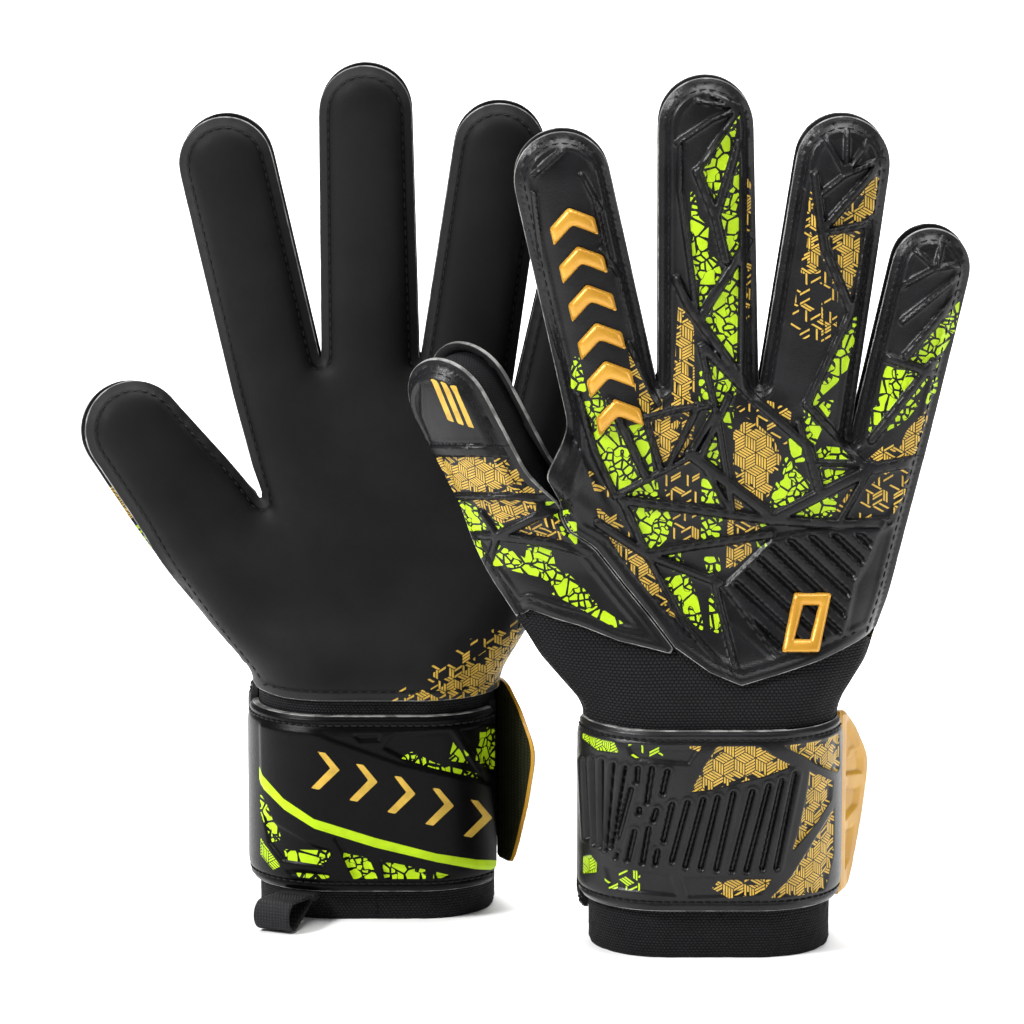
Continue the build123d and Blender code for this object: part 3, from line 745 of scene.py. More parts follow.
class Finish:
    """A Principled material and short ways to feed its sockets."""

    def __init__(self, name, color, rough, **values):
        self.material = bpy.data.materials.new(name)
        self.material.use_nodes = True
        self.tree = self.material.node_tree
        self.shader = self.tree.nodes["Principled BSDF"]
        self.set("Base Color", (*color, 1))
        self.set("Roughness", rough)
        for key, value in values.items():
            self.set(key.replace("_", " "), value)

    def set(self, socket, value):
        self.feed(self.shader.inputs[socket], value)

    def feed(self, socket, value):
        if isinstance(value, bpy.types.NodeSocket):
            self.tree.links.new(value, socket)
        else:
            socket.default_value = value

    def node(self, kind, **inputs):
        made = self.tree.nodes.new(kind)
        for key, value in inputs.items():
            self.feed(made.inputs[key.replace("_", " ")], value)
        return made

    def math(self, operation, *values):
        made = self.tree.nodes.new("ShaderNodeMath")
        made.operation = operation
        for socket, value in zip(made.inputs, values):
            self.feed(socket, value)
        return made.outputs[0]

    def step(self, value, low, high):
        made = self.tree.nodes.new("ShaderNodeMapRange")
        made.interpolation_type = "SMOOTHSTEP"
        for key, v in zip(("Value", "From Min", "From Max"), (value, low, high)):
            self.feed(made.inputs[key], v)
        return made.outputs[0]

    def field(self, name, output="Fac"):
        made = self.tree.nodes.new("ShaderNodeAttribute")
        made.attribute_name = name
        return made.outputs[output]

    def flat(self):
        return self.field("flat", "Vector")

    def split(self, vector):
        made = self.node("ShaderNodeSeparateXYZ", Vector=vector)
        return made.outputs["X"], made.outputs["Y"]

    def place(self):
        return self.node("ShaderNodeTexCoord").outputs["Object"]

    def noise(self, scale, detail, vector=None):
        made = self.node("ShaderNodeTexNoise", Scale=scale, Detail=detail)
        self.feed(made.inputs["Vector"], vector or self.place())
        return made.outputs["Fac"]

    def mix(self, share, first, second):
        made = self.tree.nodes.new("ShaderNodeMix")
        made.data_type = "RGBA"
        self.feed(made.inputs["Factor"], share)
        for socket, value in zip((made.inputs[6], made.inputs[7]), (first, second)):
            self.feed(socket, value if isinstance(value, bpy.types.NodeSocket) else (*value, 1))
        return made.outputs[2]

    def bump(self, height, distance, strength):
        made = self.node("ShaderNodeBump", Height=height, Distance=distance, Strength=strength)
        self.set("Normal", made.outputs["Normal"])

    def from_centre(self, value, period):
        """value less its nearest multiple of period."""
        turns = self.math("ROUND", self.math("DIVIDE", value, period))
        return self.math("SUBTRACT", value, self.math("MULTIPLY", turns, period))

    def hatch(self, cell=3.9, stripes=4.0, half=0.33):
        """Dashes in a pattern of hatched rhombi, and a number for each dash. half is half a dash's share of its
        stripe."""
        u, v = self.split(self.flat())
        wide, high = math.sqrt(3) * cell, 3 * cell
        picks = []
        for shift in (0.0, 0.5):
            x = self.from_centre(self.math("SUBTRACT", u, shift * wide), wide)
            y = self.from_centre(self.math("SUBTRACT", v, shift * high), high)
            size = self.math("ADD", self.math("MULTIPLY", x, x), self.math("MULTIPLY", y, y))
            picks.append((x, y, size))
        (x1, y1, s1), (x2, y2, s2) = picks
        second = self.math("LESS_THAN", s2, s1)
        x = self.math("MULTIPLY_ADD", second, self.math("SUBTRACT", x2, x1), x1)
        y = self.math("MULTIPLY_ADD", second, self.math("SUBTRACT", y2, y1), y1)
        found, number = None, None
        rays = [(math.cos(math.radians(a)), math.sin(math.radians(a))) for a in (90, 210, 330)]
        dots = [self.math("ADD", self.math("MULTIPLY", x, a), self.math("MULTIPLY", y, b)) for a, b in rays]
        dots.append(dots[0])
        for k in range(3):
            first, other = dots[k], dots[k + 1]
            a = self.math("MULTIPLY", self.math("MULTIPLY_ADD", other, 0.5, first), 4 / 3)
            b = self.math("MULTIPLY", self.math("MULTIPLY_ADD", first, 0.5, other), 4 / 3)
            here = self.math("MULTIPLY", self.math("GREATER_THAN", a, 0.0), self.math("GREATER_THAN", b, 0.0))
            line = self.math("MULTIPLY", a, stripes / cell)
            wave = self.math("ABSOLUTE", self.math("SUBTRACT", self.math("FRACT", line), 0.5))
            on = self.step(wave, half + 0.04, half - 0.04)
            ends = self.step(self.math("ABSOLUTE", self.math("SUBTRACT", b, cell / 2)), cell * 0.47, cell * 0.43)
            dash = self.math("MULTIPLY", self.math("MULTIPLY", on, ends), here)
            tag = self.math("MULTIPLY", self.math("ADD", self.math("FLOOR", line), 7.0 * (k + 1)), here)
            found = dash if found is None else self.math("ADD", found, dash)
            number = tag if number is None else self.math("ADD", number, tag)
        centre_u, centre_v = self.math("SUBTRACT", u, x), self.math("SUBTRACT", v, y)
        where = self.node("ShaderNodeCombineXYZ", X=centre_u, Y=centre_v, Z=number).outputs["Vector"]
        where = self.node("ShaderNodeVectorMath", Vector=where)
        where.operation = "SNAP"
        where.inputs[1].default_value = (0.5, 0.5, 1.0)
        chance = self.node("ShaderNodeTexWhiteNoise", Vector=where.outputs["Vector"]).outputs["Value"]
        return found, chance


BLACK = (0.0045, 0.0045, 0.0052)
LIME = (0.42, 0.63, 0.011)
GOLD = (0.60, 0.385, 0.062)
BRIGHT_GOLD = (0.62, 0.32, 0.030)
# pale cut foam, also a painted highlight (glint) along cut edges
PALE_EDGE_AND_GLINT, EDGE_WIDTH = (0.30, 0.30, 0.29), 0.17
LATEX_RIM, LATEX_SEAM = (0.017, 0.017, 0.0175), (0.0008, 0.0008, 0.0009)


def cut_edge_with_glint(finish, color):
    """Mixes in the light foam that shows where a sheet is cut; the pale line is partly the cut foam's own colour and
    partly a painted highlight, a glint along the cut edge.
    """
    ragged = finish.math("MULTIPLY", finish.noise(300, 2), EDGE_WIDTH * 1.2)
    none, whole = finish.math("ADD", ragged, EDGE_WIDTH), finish.math("ADD", ragged, EDGE_WIDTH * 0.3)
    shown = finish.step(finish.field("edge"), none, whole)
    speckle = finish.step(finish.noise(160, 3), 0.42, 0.60)
    share = finish.math("MULTIPLY_ADD", speckle, 0.55, 0.3)
    return finish.mix(finish.math("MULTIPLY", shown, share), color, PALE_EDGE_AND_GLINT)


def grain(finish, base, spread=0.35, scale=90):
    """A base colour with slow, faint changes."""
    light = tuple(min(1.0, c * (1 + spread)) for c in base)
    dark = tuple(c * (1 - spread) for c in base)
    return finish.mix(finish.step(finish.noise(scale, 4), 0.3, 0.7), dark, light)


def embossed_foam(name, base, shine):
    """Black foam cloth with cells of yellow-green and hatching of gold printed on it."""
    f = Finish(name, base, 0.42, Specular_IOR_Level=shine)
    color = grain(f, base)
    inside = f.field("cells")
    gaps = []
    for size in (5.0, 2.4):
        cell = f.tree.nodes.new("ShaderNodeTexVoronoi")
        cell.feature, cell.voronoi_dimensions = "DISTANCE_TO_EDGE", "2D"
        f.feed(cell.inputs["Vector"], f.flat())
        f.feed(cell.inputs["Scale"], 1 / size)
        f.feed(cell.inputs["Randomness"], 0.95)
        gaps.append(f.math("MULTIPLY", cell.outputs["Distance"], size))
    fine = f.step(f.noise(0.16, 1, f.flat()), 0.50, 0.53)
    gap = f.math("MULTIPLY_ADD", fine, f.math("SUBTRACT", gaps[1], gaps[0]), gaps[0])
    between = f.math("ABSOLUTE", f.math("SUBTRACT", fine, 0.5))
    gap = f.math("MINIMUM", gap, f.math("MULTIPLY_ADD", between, 2.0, -0.4))
    limit = f.math("MULTIPLY_ADD", f.step(inside, 2.0, 0.2), 0.22, 0.27)
    limit = f.math("MULTIPLY_ADD", f.noise(0.5, 1, f.flat()), 0.25, f.math("SUBTRACT", limit, 0.1))
    lime = f.math("MULTIPLY", f.step(f.math("SUBTRACT", gap, limit), 0.0, 0.06), f.step(inside, 0.15, 0.3))
    dash, chance = f.hatch()
    most = f.math("GREATER_THAN", chance, f.math("MULTIPLY", f.step(f.field("hatch"), 3.0, 0.4), 0.32))
    gold_here = f.math("MULTIPLY", f.math("MULTIPLY", f.step(f.field("hatch"), 0.2, 0.35), dash), most)
    few = f.math("LESS_THAN", chance, 0.36)
    gold_few = f.math("MULTIPLY", f.math("MULTIPLY", f.step(f.field("dashes"), 0.1, 0.3), dash), few)
    green = f.math("MULTIPLY", f.step(f.field("green"), 0.2, 0.35), dash)
    green_few = f.math("MULTIPLY", f.math("MULTIPLY", f.step(f.field("green_dashes"), 0.1, 0.3), dash), few)
    gold_solid = f.step(f.field("gold"), 0.0, 0.12)
    lime_solid = f.math("MAXIMUM", f.step(f.field("stripe"), 0.0, 0.15), f.math("MAXIMUM", green, green_few))
    tone = f.step(f.noise(260, 3), 0.25, 0.75)
    gold_tone = f.mix(tone, tuple(c * 0.72 for c in GOLD), GOLD)
    lime_tone = f.mix(tone, tuple(c * 0.86 for c in LIME), LIME)
    color = f.mix(f.math("MAXIMUM", gold_solid, f.math("MAXIMUM", gold_here, gold_few)), color, gold_tone)
    color = f.mix(f.math("MAXIMUM", lime, lime_solid), color, lime_tone)
    f.set("Base Color", cut_edge_with_glint(f, color))
    f.set("Roughness", f.math("MULTIPLY_ADD", f.noise(700, 3), 0.14, 0.27))
    crest = f.step(f.field("rib"), 0.75, 0.15)
    f.bump(f.math("MULTIPLY_ADD", crest, 2.6, f.noise(1900, 3)), 0.00014, 0.6)
    return f.material


def latex():
    """Matt black palm latex with a very fine grain and a gold print that thins out up the palm."""
    f = Finish("latex_palm", BLACK, 0.62, Specular_IOR_Level=0.12)
    color = grain(f, (0.0058, 0.0056, 0.0058), 0.25, 40)
    rim = f.step(f.field("edge"), STITCH_IN - 0.3, STITCH_IN - 1.0)
    color = f.mix(f.math("MULTIPLY", rim, 0.75), color, LATEX_RIM)
    seam = f.step(f.math("ABSOLUTE", f.math("SUBTRACT", f.field("edge"), STITCH_IN)), 0.7, 0.3)
    color = f.mix(f.math("MULTIPLY", seam, 0.85), color, LATEX_SEAM)
    dash, chance = f.hatch(3.0, 3.0, 0.37)
    thick = f.step(f.field("print"), -1.0, 13.0)
    shown = f.math("MULTIPLY", dash, f.math("LESS_THAN", chance, f.math("MULTIPLY_ADD", thick, 1.1, 0.02)))
    shown = f.math("MULTIPLY", shown, f.step(f.field("print"), -0.6, 0.0))
    tone = f.mix(f.step(f.noise(300, 3), 0.3, 0.7), tuple(c * 0.6 for c in GOLD), tuple(c * 0.92 for c in GOLD))
    f.set("Base Color", cut_edge_with_glint(f, f.mix(shown, color, tone)))
    f.set("Roughness", f.math("MULTIPLY_ADD", f.noise(500, 4), 0.2, 0.5))
    f.bump(f.math("MULTIPLY_ADD", f.noise(2600, 4), 0.6, f.noise(420, 3)), 0.00012, 0.45)
    return f.material


def weave(name, wide, high, base, depth, rough=0.75):
    """Knitted cloth: rows of small loops, every second row half a loop aside. Each loop's crown is painted lighter
    and the gaps between loops darker, a painted highlight and painted shade, unevenly by a noise.
    """
    f = Finish(name, base, rough, Specular_IOR_Level=0.08)
    u, v = f.split(f.flat())
    row = f.math("MULTIPLY_ADD", f.noise(55, 2), 0.9, f.math("DIVIDE", v, high))
    odd = f.math("MULTIPLY", f.math("FLOORED_MODULO", f.math("FLOOR", row), 2.0), 0.5)
    column = f.math("ADD", f.math("DIVIDE", u, wide), odd)
    hump_u = f.math("SINE", f.math("MULTIPLY", f.math("FRACT", column), math.pi))
    hump_v = f.math("SINE", f.math("MULTIPLY", f.math("FRACT", row), math.pi))
    loop = f.math("POWER", f.math("MULTIPLY", hump_u, hump_v), 0.7)
    highlight_patchiness = f.math("MULTIPLY_ADD", f.noise(120, 3), 0.5, 0.6)
    # painted highlight on the loop crowns and painted shade between the loops
    light = tuple(c * 3.4 for c in base)
    dark = tuple(c * 0.35 for c in base)
    f.set("Base Color", f.mix(f.math("MULTIPLY", loop, highlight_patchiness), dark, light))
    f.bump(f.math("MULTIPLY_ADD", f.noise(2500, 2), 0.25, loop), depth, 0.9)
    return f.material


def rubber(name, base, rough, metallic):
    """Moulded gold with a random tone, and painted shade: a little darker in its hollows than on its edges."""
    f = Finish(name, base, rough, Metallic=metallic, Coat_Weight=0.12, Coat_Roughness=0.3)
    tone = f.step(f.noise(60, 3), 0.3, 0.75)
    deep = tuple(c * k for c, k in zip(base, (0.80, 0.74, 0.6)))
    color = f.mix(tone, deep, base)
    # painted shade: where the surface is concave (low pointiness) the gold is mixed towards a darker tone
    edge = f.node("ShaderNodeNewGeometry").outputs["Pointiness"]
    color = f.mix(f.step(edge, 0.44, 0.50), tuple(c * 0.55 for c in deep), color)
    f.set("Base Color", color)
    f.set("Roughness", f.math("MULTIPLY_ADD", f.noise(500, 3), 0.18, rough - 0.08))
    f.bump(f.noise(1500, 3), 0.00008, 0.4)
    return f.material


def cloth(name, base, rough, scale, depth):
    """Plain black cloth of fine threads, for parts that show little. The raised threads are painted lighter and the
    gaps darker, a painted highlight and painted shade, with a faint random tone.
    """
    f = Finish(name, base, rough, Specular_IOR_Level=0.10)
    x = f.node("ShaderNodeTexWave", Scale=scale, Distortion=1.5, Vector=f.place())
    y = f.node("ShaderNodeTexWave", Scale=scale, Distortion=1.5, Vector=f.place())
    y.bands_direction = "Z"
    thread = f.math("MULTIPLY", x.outputs["Fac"], y.outputs["Fac"])
    # painted highlight on the raised threads and painted shade between them, plus faint random tone
    f.set("Base Color", f.mix(f.math("MULTIPLY_ADD", f.noise(200, 2), 0.3, thread), tuple(c * 0.5 for c in base),
                              tuple(c * 1.9 for c in base)))
    f.bump(thread, depth, 0.8)
    return f.material


FOAM = embossed_foam("embossed_foam", (0.0065, 0.0065, 0.0072), 0.24)
BAND_FOAM = embossed_foam("band_foam", (0.0012, 0.0012, 0.0015), 0.09)
LATEX = latex()
KNIT = weave("knit", 1.35, 0.95, (0.006, 0.006, 0.0065), 0.0005)
ELASTIC = weave("elastic_knit", 1.25, 0.9, (0.006, 0.006, 0.0065), 0.0004)
LINING = cloth("lining", (0.02, 0.02, 0.022), 0.85, 420, 0.0002)
GUSSET = weave("gusset_foam", 0.95, 0.8, (0.0055, 0.0055, 0.006), 0.00022, 0.65)
WEBBING = cloth("webbing", (0.014, 0.014, 0.015), 0.6, 330, 0.0003)
LOOP_PILE = cloth("loop_pile", (0.012, 0.012, 0.012), 0.95, 700, 0.0005)
HOOKS = cloth("hooks", (0.014, 0.014, 0.014), 0.5, 480, 0.0006)
TAB_GOLD = rubber("gold_rubber", (0.46, 0.24, 0.006), 0.45, 0.0)
TAB_BACK = cloth("tab_back", (0.012, 0.013, 0.006), 0.5, 300, 0.0001)
BADGE_GOLD = rubber("gold_badge", BRIGHT_GOLD, 0.34, 0.30)
THREAD_BLACK = cloth("thread", (0.010, 0.010, 0.0105), 0.45, 900, 0.0001)


# Sheets of the hand

SEAM = [(-28, 113.5), (-20, 104), (-12, 94), (-1, 86.8), (9, 83), (20, 86), (34, 90), (46, 94.5)]
THUMB_SEAM = [(-13.5, 92.2), (-20, 93.8), (-30, 96), (-42, 100.5), (-50, 102.5), (-58, 105)]
PALM_EDGE = 68.5
PALM_PRINT = [(2, 63), (46, 63), (58, 92), (57, 104), (50, 98), (42, 92), (33, 88), (22, 81), (10, 74)]
LINING_INSET, LINING_WALL, LINING_END = 5.4, 0.8, 111
KNIT_CUT, KNIT_LIMIT = 1.25, 0.0054  # the knit's flat area over what shows, and its largest value
PRINT_SPREAD = 0.9  # a print reaches this far beyond its facet, up to the next rib


def cut(*parts):
    """A closed ring from lines given one after another."""
    return np.vstack([np.atleast_2d(np.array(p, float)) for p in parts])


def back_fields(glove, panel):
    at = drawn(glove, panel.flat, panel.base(panel.flat))
    rib = from_ribs(at)
    prints = {"cells": CELLS, "hatch": HATCH, "dashes": DASHES}
    fields = {k: np.minimum(within(at, rings) + PRINT_SPREAD, rib - 0.6) for k, rings in prints.items()}
    return {"gold": within(at, THUMB_BARS), "rib": np.minimum(rib, 3.0), **fields}


def build_hand(glove):
    """The sheets of the hand with their linings and stitches. Gives the backhand back, for what lies on it."""
    name = glove.name
    seam = glove.seam_top + SEAM
    right_end = (52.5, 97.5)

    palm_ring = cut(glove.edge((-41, PALM_EDGE), (41, PALM_EDGE)), [(30, PALM_EDGE - 0.6), (-30, PALM_EDGE - 0.6)])
    palm = Panel(glove, palm_ring, 1.7, -1, 0.4, 6.0, 2.0)
    own(palm.build(f"{name}_palm", LATEX, {"print": signed_distance(palm.flat, PALM_PRINT)}), glove, "palm")

    back_ring = cut(glove.edge(glove.crotch, right_end), seam[::-1])
    back = Panel(glove, back_ring, 0.74, 1, 0.9, 5.0, 2.0, relief=True)
    own(back.build(f"{name}_backhand", FOAM, back_fields(glove, back)), glove, "backhand")

    thumb_start = (-64, 100) if name == "right" else (-66, 103)
    shared = np.array(seam, float)[:len(glove.seam_top) + 3] + (-0.5, -0.28)
    thumb_ring = cut(glove.edge(thumb_start, glove.crotch)[:-2], shared, THUMB_SEAM)
    thumb = Panel(glove, thumb_ring, 0.74, 1, 0.9, 5.0, 2.0, relief=True)
    own(thumb.build(f"{name}_thumb_panel", FOAM, back_fields(glove, thumb)), glove, "thumb_panel")

    knit_ring = cut(glove.edge((-41, 65), thumb_start), [(-57.5, 107.5), (-50, 106), (-42, 104.5), (-30, 100),
                    (-22, 100), (-14, 99), (-1, 91.5), (9, 88), (20, 91), (34, 95), (46, 99)],
                    glove.edge((51, 94), (41, 65)))
    knit = Panel(glove, knit_ring, 1.6, 1, -1.8, 1.5, 1.4, stitched=False)
    own(knit.build(f"{name}_knit_panel", KNIT), glove, "knit_panel",
        sheet=((0.12, 0.045), min(knit.area() * KNIT_CUT, KNIT_LIMIT)))

    for side, node, depth in ((-1, "palm_lining", 6.4), (1, "back_lining", 5.4)):
        ring = glove.edge((-60, 112), (57, 112), inset=LINING_INSET)
        lining = Panel(glove, ring[ring[:, 1] > LINING_END], 3.0, side, 0, 1, 1, stitched=False)
        top = np.maximum(glove.crown(lining.flat) - depth, 1.0)
        piece = shell(f"{name}_{node}", lining.faces, glove.place(lining.flat, side * top),
                      glove.place(lining.flat, side * (top - LINING_WALL)), side * glove.back > 0, LINING,
                      {"flat": flat_field(lining.flat)})
        own(piece, glove, node, sheet=((0.17, 0.17), lining.area()))

    rows = {
        "palm": (palm, glove.edge((-41, PALM_EDGE + 4), (41, PALM_EDGE + 4), inset=STITCH_IN)),
        "palm_hem": (palm, [(-36, PALM_EDGE + 2.6), (36, PALM_EDGE + 2.6)]),
        "backhand": (back, glove.edge(glove.crotch, right_end, inset=STITCH_IN)),
        "seam": (back, inset_line(seam[1:], 3.3)),
        "thumb_panel": (thumb, glove.edge(thumb_start, glove.crotch, inset=STITCH_IN)),
        "thumb_seam": (thumb, [(u, v + 3.2) for u, v in THUMB_SEAM[1:]]),
    }
    for row, (panel, line) in rows.items():
        sewn(panel.stitches(f"{name}_stitches_{row}", line), glove)
    return back


def inset_line(line, distance):
    """An open line moved to its left."""
    line = resample(line, 2.0, closed=False)
    return line - distance * rightward(directions(line))


GUSSET_OUT, GUSSET_WALL, GUSSET_HALF = 0.9, 1.3, 7.0


def build_gussets(glove):
    """Foam strips between the two faces, down each gap and each outer side."""
    tips = [np.array(finger[2]) + finger[3] * axis_of(finger)[1] for finger in glove.fingers]
    ends = [(-54.5, 88.5), *tips, (50.2, 87.5)]
    names = ["thumb_outer", "thumb_index", "index_middle", "middle_ring", "ring_little", "little_outer"]
    for gap, start, end in zip(names, ends, ends[1:]):
        line = glove.edge(start, end, inset=3.9, step=0.4)
        line = resample(line[1:], 1.6, closed=False)
        outward = -rightward(directions(line))
        half = np.clip(glove.crown(line) - 3.3, 1.0, GUSSET_HALF)
        steps = np.linspace(-1, 1, 9)
        section = [(k, 0.0) for k in steps] + [(k, GUSSET_WALL) for k in steps[::-1]]
        flat = [line + outward * (GUSSET_OUT * (1 - k * k) - depth) for k, depth in section]
        t = np.stack([half * k for k, _ in section], 1).ravel()
        faces = [face[::-glove.back] for face in tube_faces(len(line), len(section))]
        run = np.concatenate([[0], np.cumsum(np.hypot(*np.diff(line, axis=0).T))])
        fields = {"flat": flat_field(np.stack([np.repeat(run, len(section)), t], 1))}
        piece = make(f"{glove.name}_gusset_{gap}", glove.place(np.stack(flat, 1).reshape(-1, 2), t), faces, GUSSET,
                     fields)
        own(piece, glove, f"gusset_{gap}")


# Wrist


def wrist_points(glove, along, v, out, side):
    u, t = wrist(along, out, side)
    return glove.world(u, v, t)


CUFF_WALL, HEM_SEAM = 2.2, 9.5


def build_cuff(glove):
    """The knitted tube, with a folded hem and slack rows."""
    total = 2 * (2 * (HALF_WIDTH - CORNER) + math.pi * (CORNER + RING_OFFSET) + 2 * (HALF_DEPTH - CORNER))
    columns, heights = 300, np.arange(HEM, CUFF_TOP + 0.1, 1.5)
    s = (np.arange(columns) / columns - 0.5) * total
    flat = np.stack([np.tile(s, len(heights)), np.repeat(heights, columns)], 1)
    fold = -0.5 * (1 - smooth(heights - HEM)) - 0.45 * np.exp(-(((heights - HEM_SEAM) / 0.8) ** 2))
    slack = 0.18 * np.sin(flat[:, 0] * 0.31 + 0.4 * flat[:, 1]) + 0.12 * np.sin(flat[:, 0] * 0.83 - flat[:, 1])
    out = np.repeat(fold, columns) + np.minimum(slack, 0)
    palm = np.abs(flat[:, 0]) > total / 4
    along = np.where(palm, np.sign(flat[:, 0]) * (total / 2 - np.abs(flat[:, 0])), flat[:, 0])
    outer, inner = (wrist_points(glove, along, flat[:, 1], out - depth, np.where(palm, -1, 1))
                    for depth in (0.0, CUFF_WALL))
    faces = np.array(tube_faces(len(heights), columns, caps=False))
    piece = shell(f"{glove.name}_wrist_cuff", faces, outer, inner, glove.back > 0, ELASTIC,
                  {"flat": flat_field(flat)})
    own(piece, glove, "wrist_cuff", sheet=((0.215, 0.078), None))


STRAP_STEP, STRAP_STITCH, STRAP_PITCH = 0.46, 3.0, 2.6


def strap_piece(glove, node, side, span, heights, raise_by, fields_of, under, material):
    """Half of the strap, a padded band round the wrist, and its stitches. raise_by and fields_of give the relief and
    the prints from where a point is drawn, under the height of the lower face."""
    columns = int((span[1] - span[0]) / STRAP_STEP) + 1
    rows = int((heights[1] - heights[0]) / STRAP_STEP) + 1
    s, v = np.linspace(*span, columns), np.linspace(*heights, rows)
    flat = np.stack([np.tile(s, rows), np.repeat(v, columns)], 1)
    u, t = wrist(flat[:, 0], 4.0, side)
    at = np.stack([u, flat[:, 1] - seen_drop(flat[:, 1], np.abs(t))], 1)
    tall = np.minimum(flat[:, 1] - heights[0], heights[1] - flat[:, 1])
    wide = np.minimum(flat[:, 0] - span[0], span[1] - flat[:, 0])
    out = 3.1 + 0.8 * smooth(tall / 7) - 1.0 * (1 - smooth(tall / 1.6)) - 0.8 * (1 - smooth(wide / 1.6))
    out = out - 0.5 * np.exp(-(((tall - STRAP_STITCH) / 0.8) ** 2)) + raise_by(at) * smooth((tall - 4.2) / 1.4)
    outer, inner = (wrist_points(glove, *flat.T, face, side) for face in (out, under(flat)))
    prints = {k: np.minimum(v, tall - 4.4) for k, v in fields_of(at).items()}
    fields = {"flat": flat_field(flat + (0, 37.0 * side)), "edge": np.minimum(tall, wide + 0.6), **prints}
    name = f"{glove.name}_{node}"
    piece = shell(name, grid_faces(rows, columns), outer, inner, side * glove.back > 0, material, fields)
    stitches = []
    for k, height in enumerate((heights[0] + STRAP_STITCH, heights[1] - STRAP_STITCH)):
        line = resample([(span[0] + 2, height), (span[1] - 2, height)], STRAP_PITCH, closed=False)
        stitches.append(stitch_row(f"{name}_stitches_{k}", line, directions(line),
                                   lambda flat: np.full(len(flat), 3.25),
                                   lambda flat, out: wrist_points(glove, *flat.T, out, side)))
    return piece, stitches


def from_slots(at):
    """Distance from the nearest slot's edge; below zero in it. The slots near the thumb are narrower."""
    found = np.full(len(at), 99.0)
    for start, end in STRAP_SLOTS:
        half = 0.85 if start[0] < -27 else 1.15
        found = np.minimum(found, from_line(at, start, end) - half)
    return found


def pressed(at, rings):
    """Height of shapes pressed into the strap."""
    return -0.75 * smooth(within(at, rings) / 1.1)


def back_relief(at):
    height, slot = pressed(at, STRAP_HATCH + STRAP_GREEN + STRAP_BARS), from_slots(at)
    return height - 1.35 * (1 - smooth((slot + 0.75) / 0.8)) + 0.3 * np.exp(-(((slot - 0.5) / 0.5) ** 2))


def back_ink(at):
    return {"hatch": within(at, STRAP_HATCH + STRAP_BAR_HATCH), "green": within(at, STRAP_GREEN),
            "green_dashes": within(at, STRAP_BAR_GREEN), "dashes": within(at, STRAP_BAR_GOLD),
            "gold": np.full(len(at), -5.0), "rib": np.clip(-from_slots(at) - 0.2, -1, 1)}


def palm_relief(at):
    band = signed_distance(at, BAND_RAISED)
    height = pressed(at, BAND_PLAIN) + 0.45 * smooth(band / 1.5)
    crease = from_line(at, *BAND_CREASE)
    return height - 0.6 * (1 - smooth(crease / 1.2)) * (band < -1.0)


def palm_ink(at):
    return {"cells": within(at, BAND_CELLS), "green": within(at, BAND_GREEN), "gold": within(at, band_marks()),
            "stripe": signed_distance(at, BAND_STRIPE)}


def build_strap(glove):
    free, rows = strap_piece(glove, "strap_free", 1, (-58.2, 55.6), FREE_STRAP, back_relief, back_ink,
                             lambda flat: np.where(flat[:, 0] > 24, 2.0, 0.6), FOAM)
    own(free, glove, "strap_free", blend=True)
    fixed, more = strap_piece(glove, "strap_fixed", -1, (-58.4, 45.0), FIXED_STRAP, palm_relief, palm_ink,
                              lambda flat: np.full(len(flat), 0.1), BAND_FOAM)
    own(fixed, glove, "strap_fixed")
    for piece in rows:
        sewn(piece, glove, blend=True)
    for piece in more:
        sewn(piece, glove)


TAB_OUTLINE = [(-2.2, 69.5), (1.5, 69.3), (5, 68), (12, 62.5), (20.5, 52.5), (22, 49), (21.8, 44), (17.5, 30),
               (11, 15), (7.5, 8.5), (-2.2, 8.3)]
TAB_FACETS = [
    [(3.2, 65.5), (6.0, 64), (12, 57.5), (17.5, 50), (17.2, 44.5), (3.2, 46.5)],
    [(3.2, 43.8), (15.8, 41), (13.8, 34.5), (3.2, 31)],
    [(3.2, 28.6), (11.5, 29), (7.5, 17.5), (3.2, 14.5)],
]
TAB_MARK = [[(7.6, 51.6), (13.4, 51.6), (15.2, 54.8), (9.4, 54.8)]]
TAB_LEAN = math.atan2(12.0, 22.0)


def build_tab(glove):
    """The moulded gold tab: a root across the strap's end, and a blade with three hollows that leans outwards."""
    ring = soften(resample(TAB_OUTLINE, 0.8), 1.3)
    border = Field(ring)
    flat, faces = fill(ring, border, 0.6)
    edge = np.maximum(border(flat), 0)
    hollow, marked = within(flat, TAB_FACETS), within(flat, TAB_MARK)
    outer = 3.5 - 1.2 * (1 - smooth(edge / 1.4)) - 1.9 * smooth(hollow / 1.5) + 0.6 * smooth(marked / 0.5)
    inner = 0.3 + 0.8 * (1 - smooth(edge / 1.2))

    def place(height):
        a, v = flat.T
        bend = smooth(a / 6) * TAB_LEAN
        reach = np.maximum(a, 0)
        t = -reach * math.cos(TAB_LEAN) * 0.985 + np.maximum(-a, 0) - height * np.sin(bend)
        u = HALF_WIDTH + 0.6 + reach * math.sin(TAB_LEAN) + height * np.cos(bend)
        return glove.world(u, v, t)

    piece = shell(f"{glove.name}_pull_tab", faces, place(outer), place(inner), glove.back > 0, TAB_GOLD,
                  {"flat": flat_field(flat)}, lining=TAB_BACK)
    own(piece, glove, "pull_tab", body=glove.strap_body)


LOOP_ANGLE = math.radians(24.0)
LOOP_WIDTH, LOOP_WALL = 13.0, 1.1
LOOP_ROOT, LOOP_TIP = ((6.5, 2.2), 1.5), ((18.6, -0.5), 5.0)
LOOP_STEP = 0.8
TAIL_BOX = [(0.0, 1.2), (4.2, 1.2), (4.7, 1.7), (4.7, 3.1), (4.2, 3.6), (0.0, 3.6)]
TAIL_WIDTHS, TAIL_MIDDLE, TAIL_PINCH = (-6.5, -6.1, 0.0, 6.1, 6.5), 2.4, 0.3


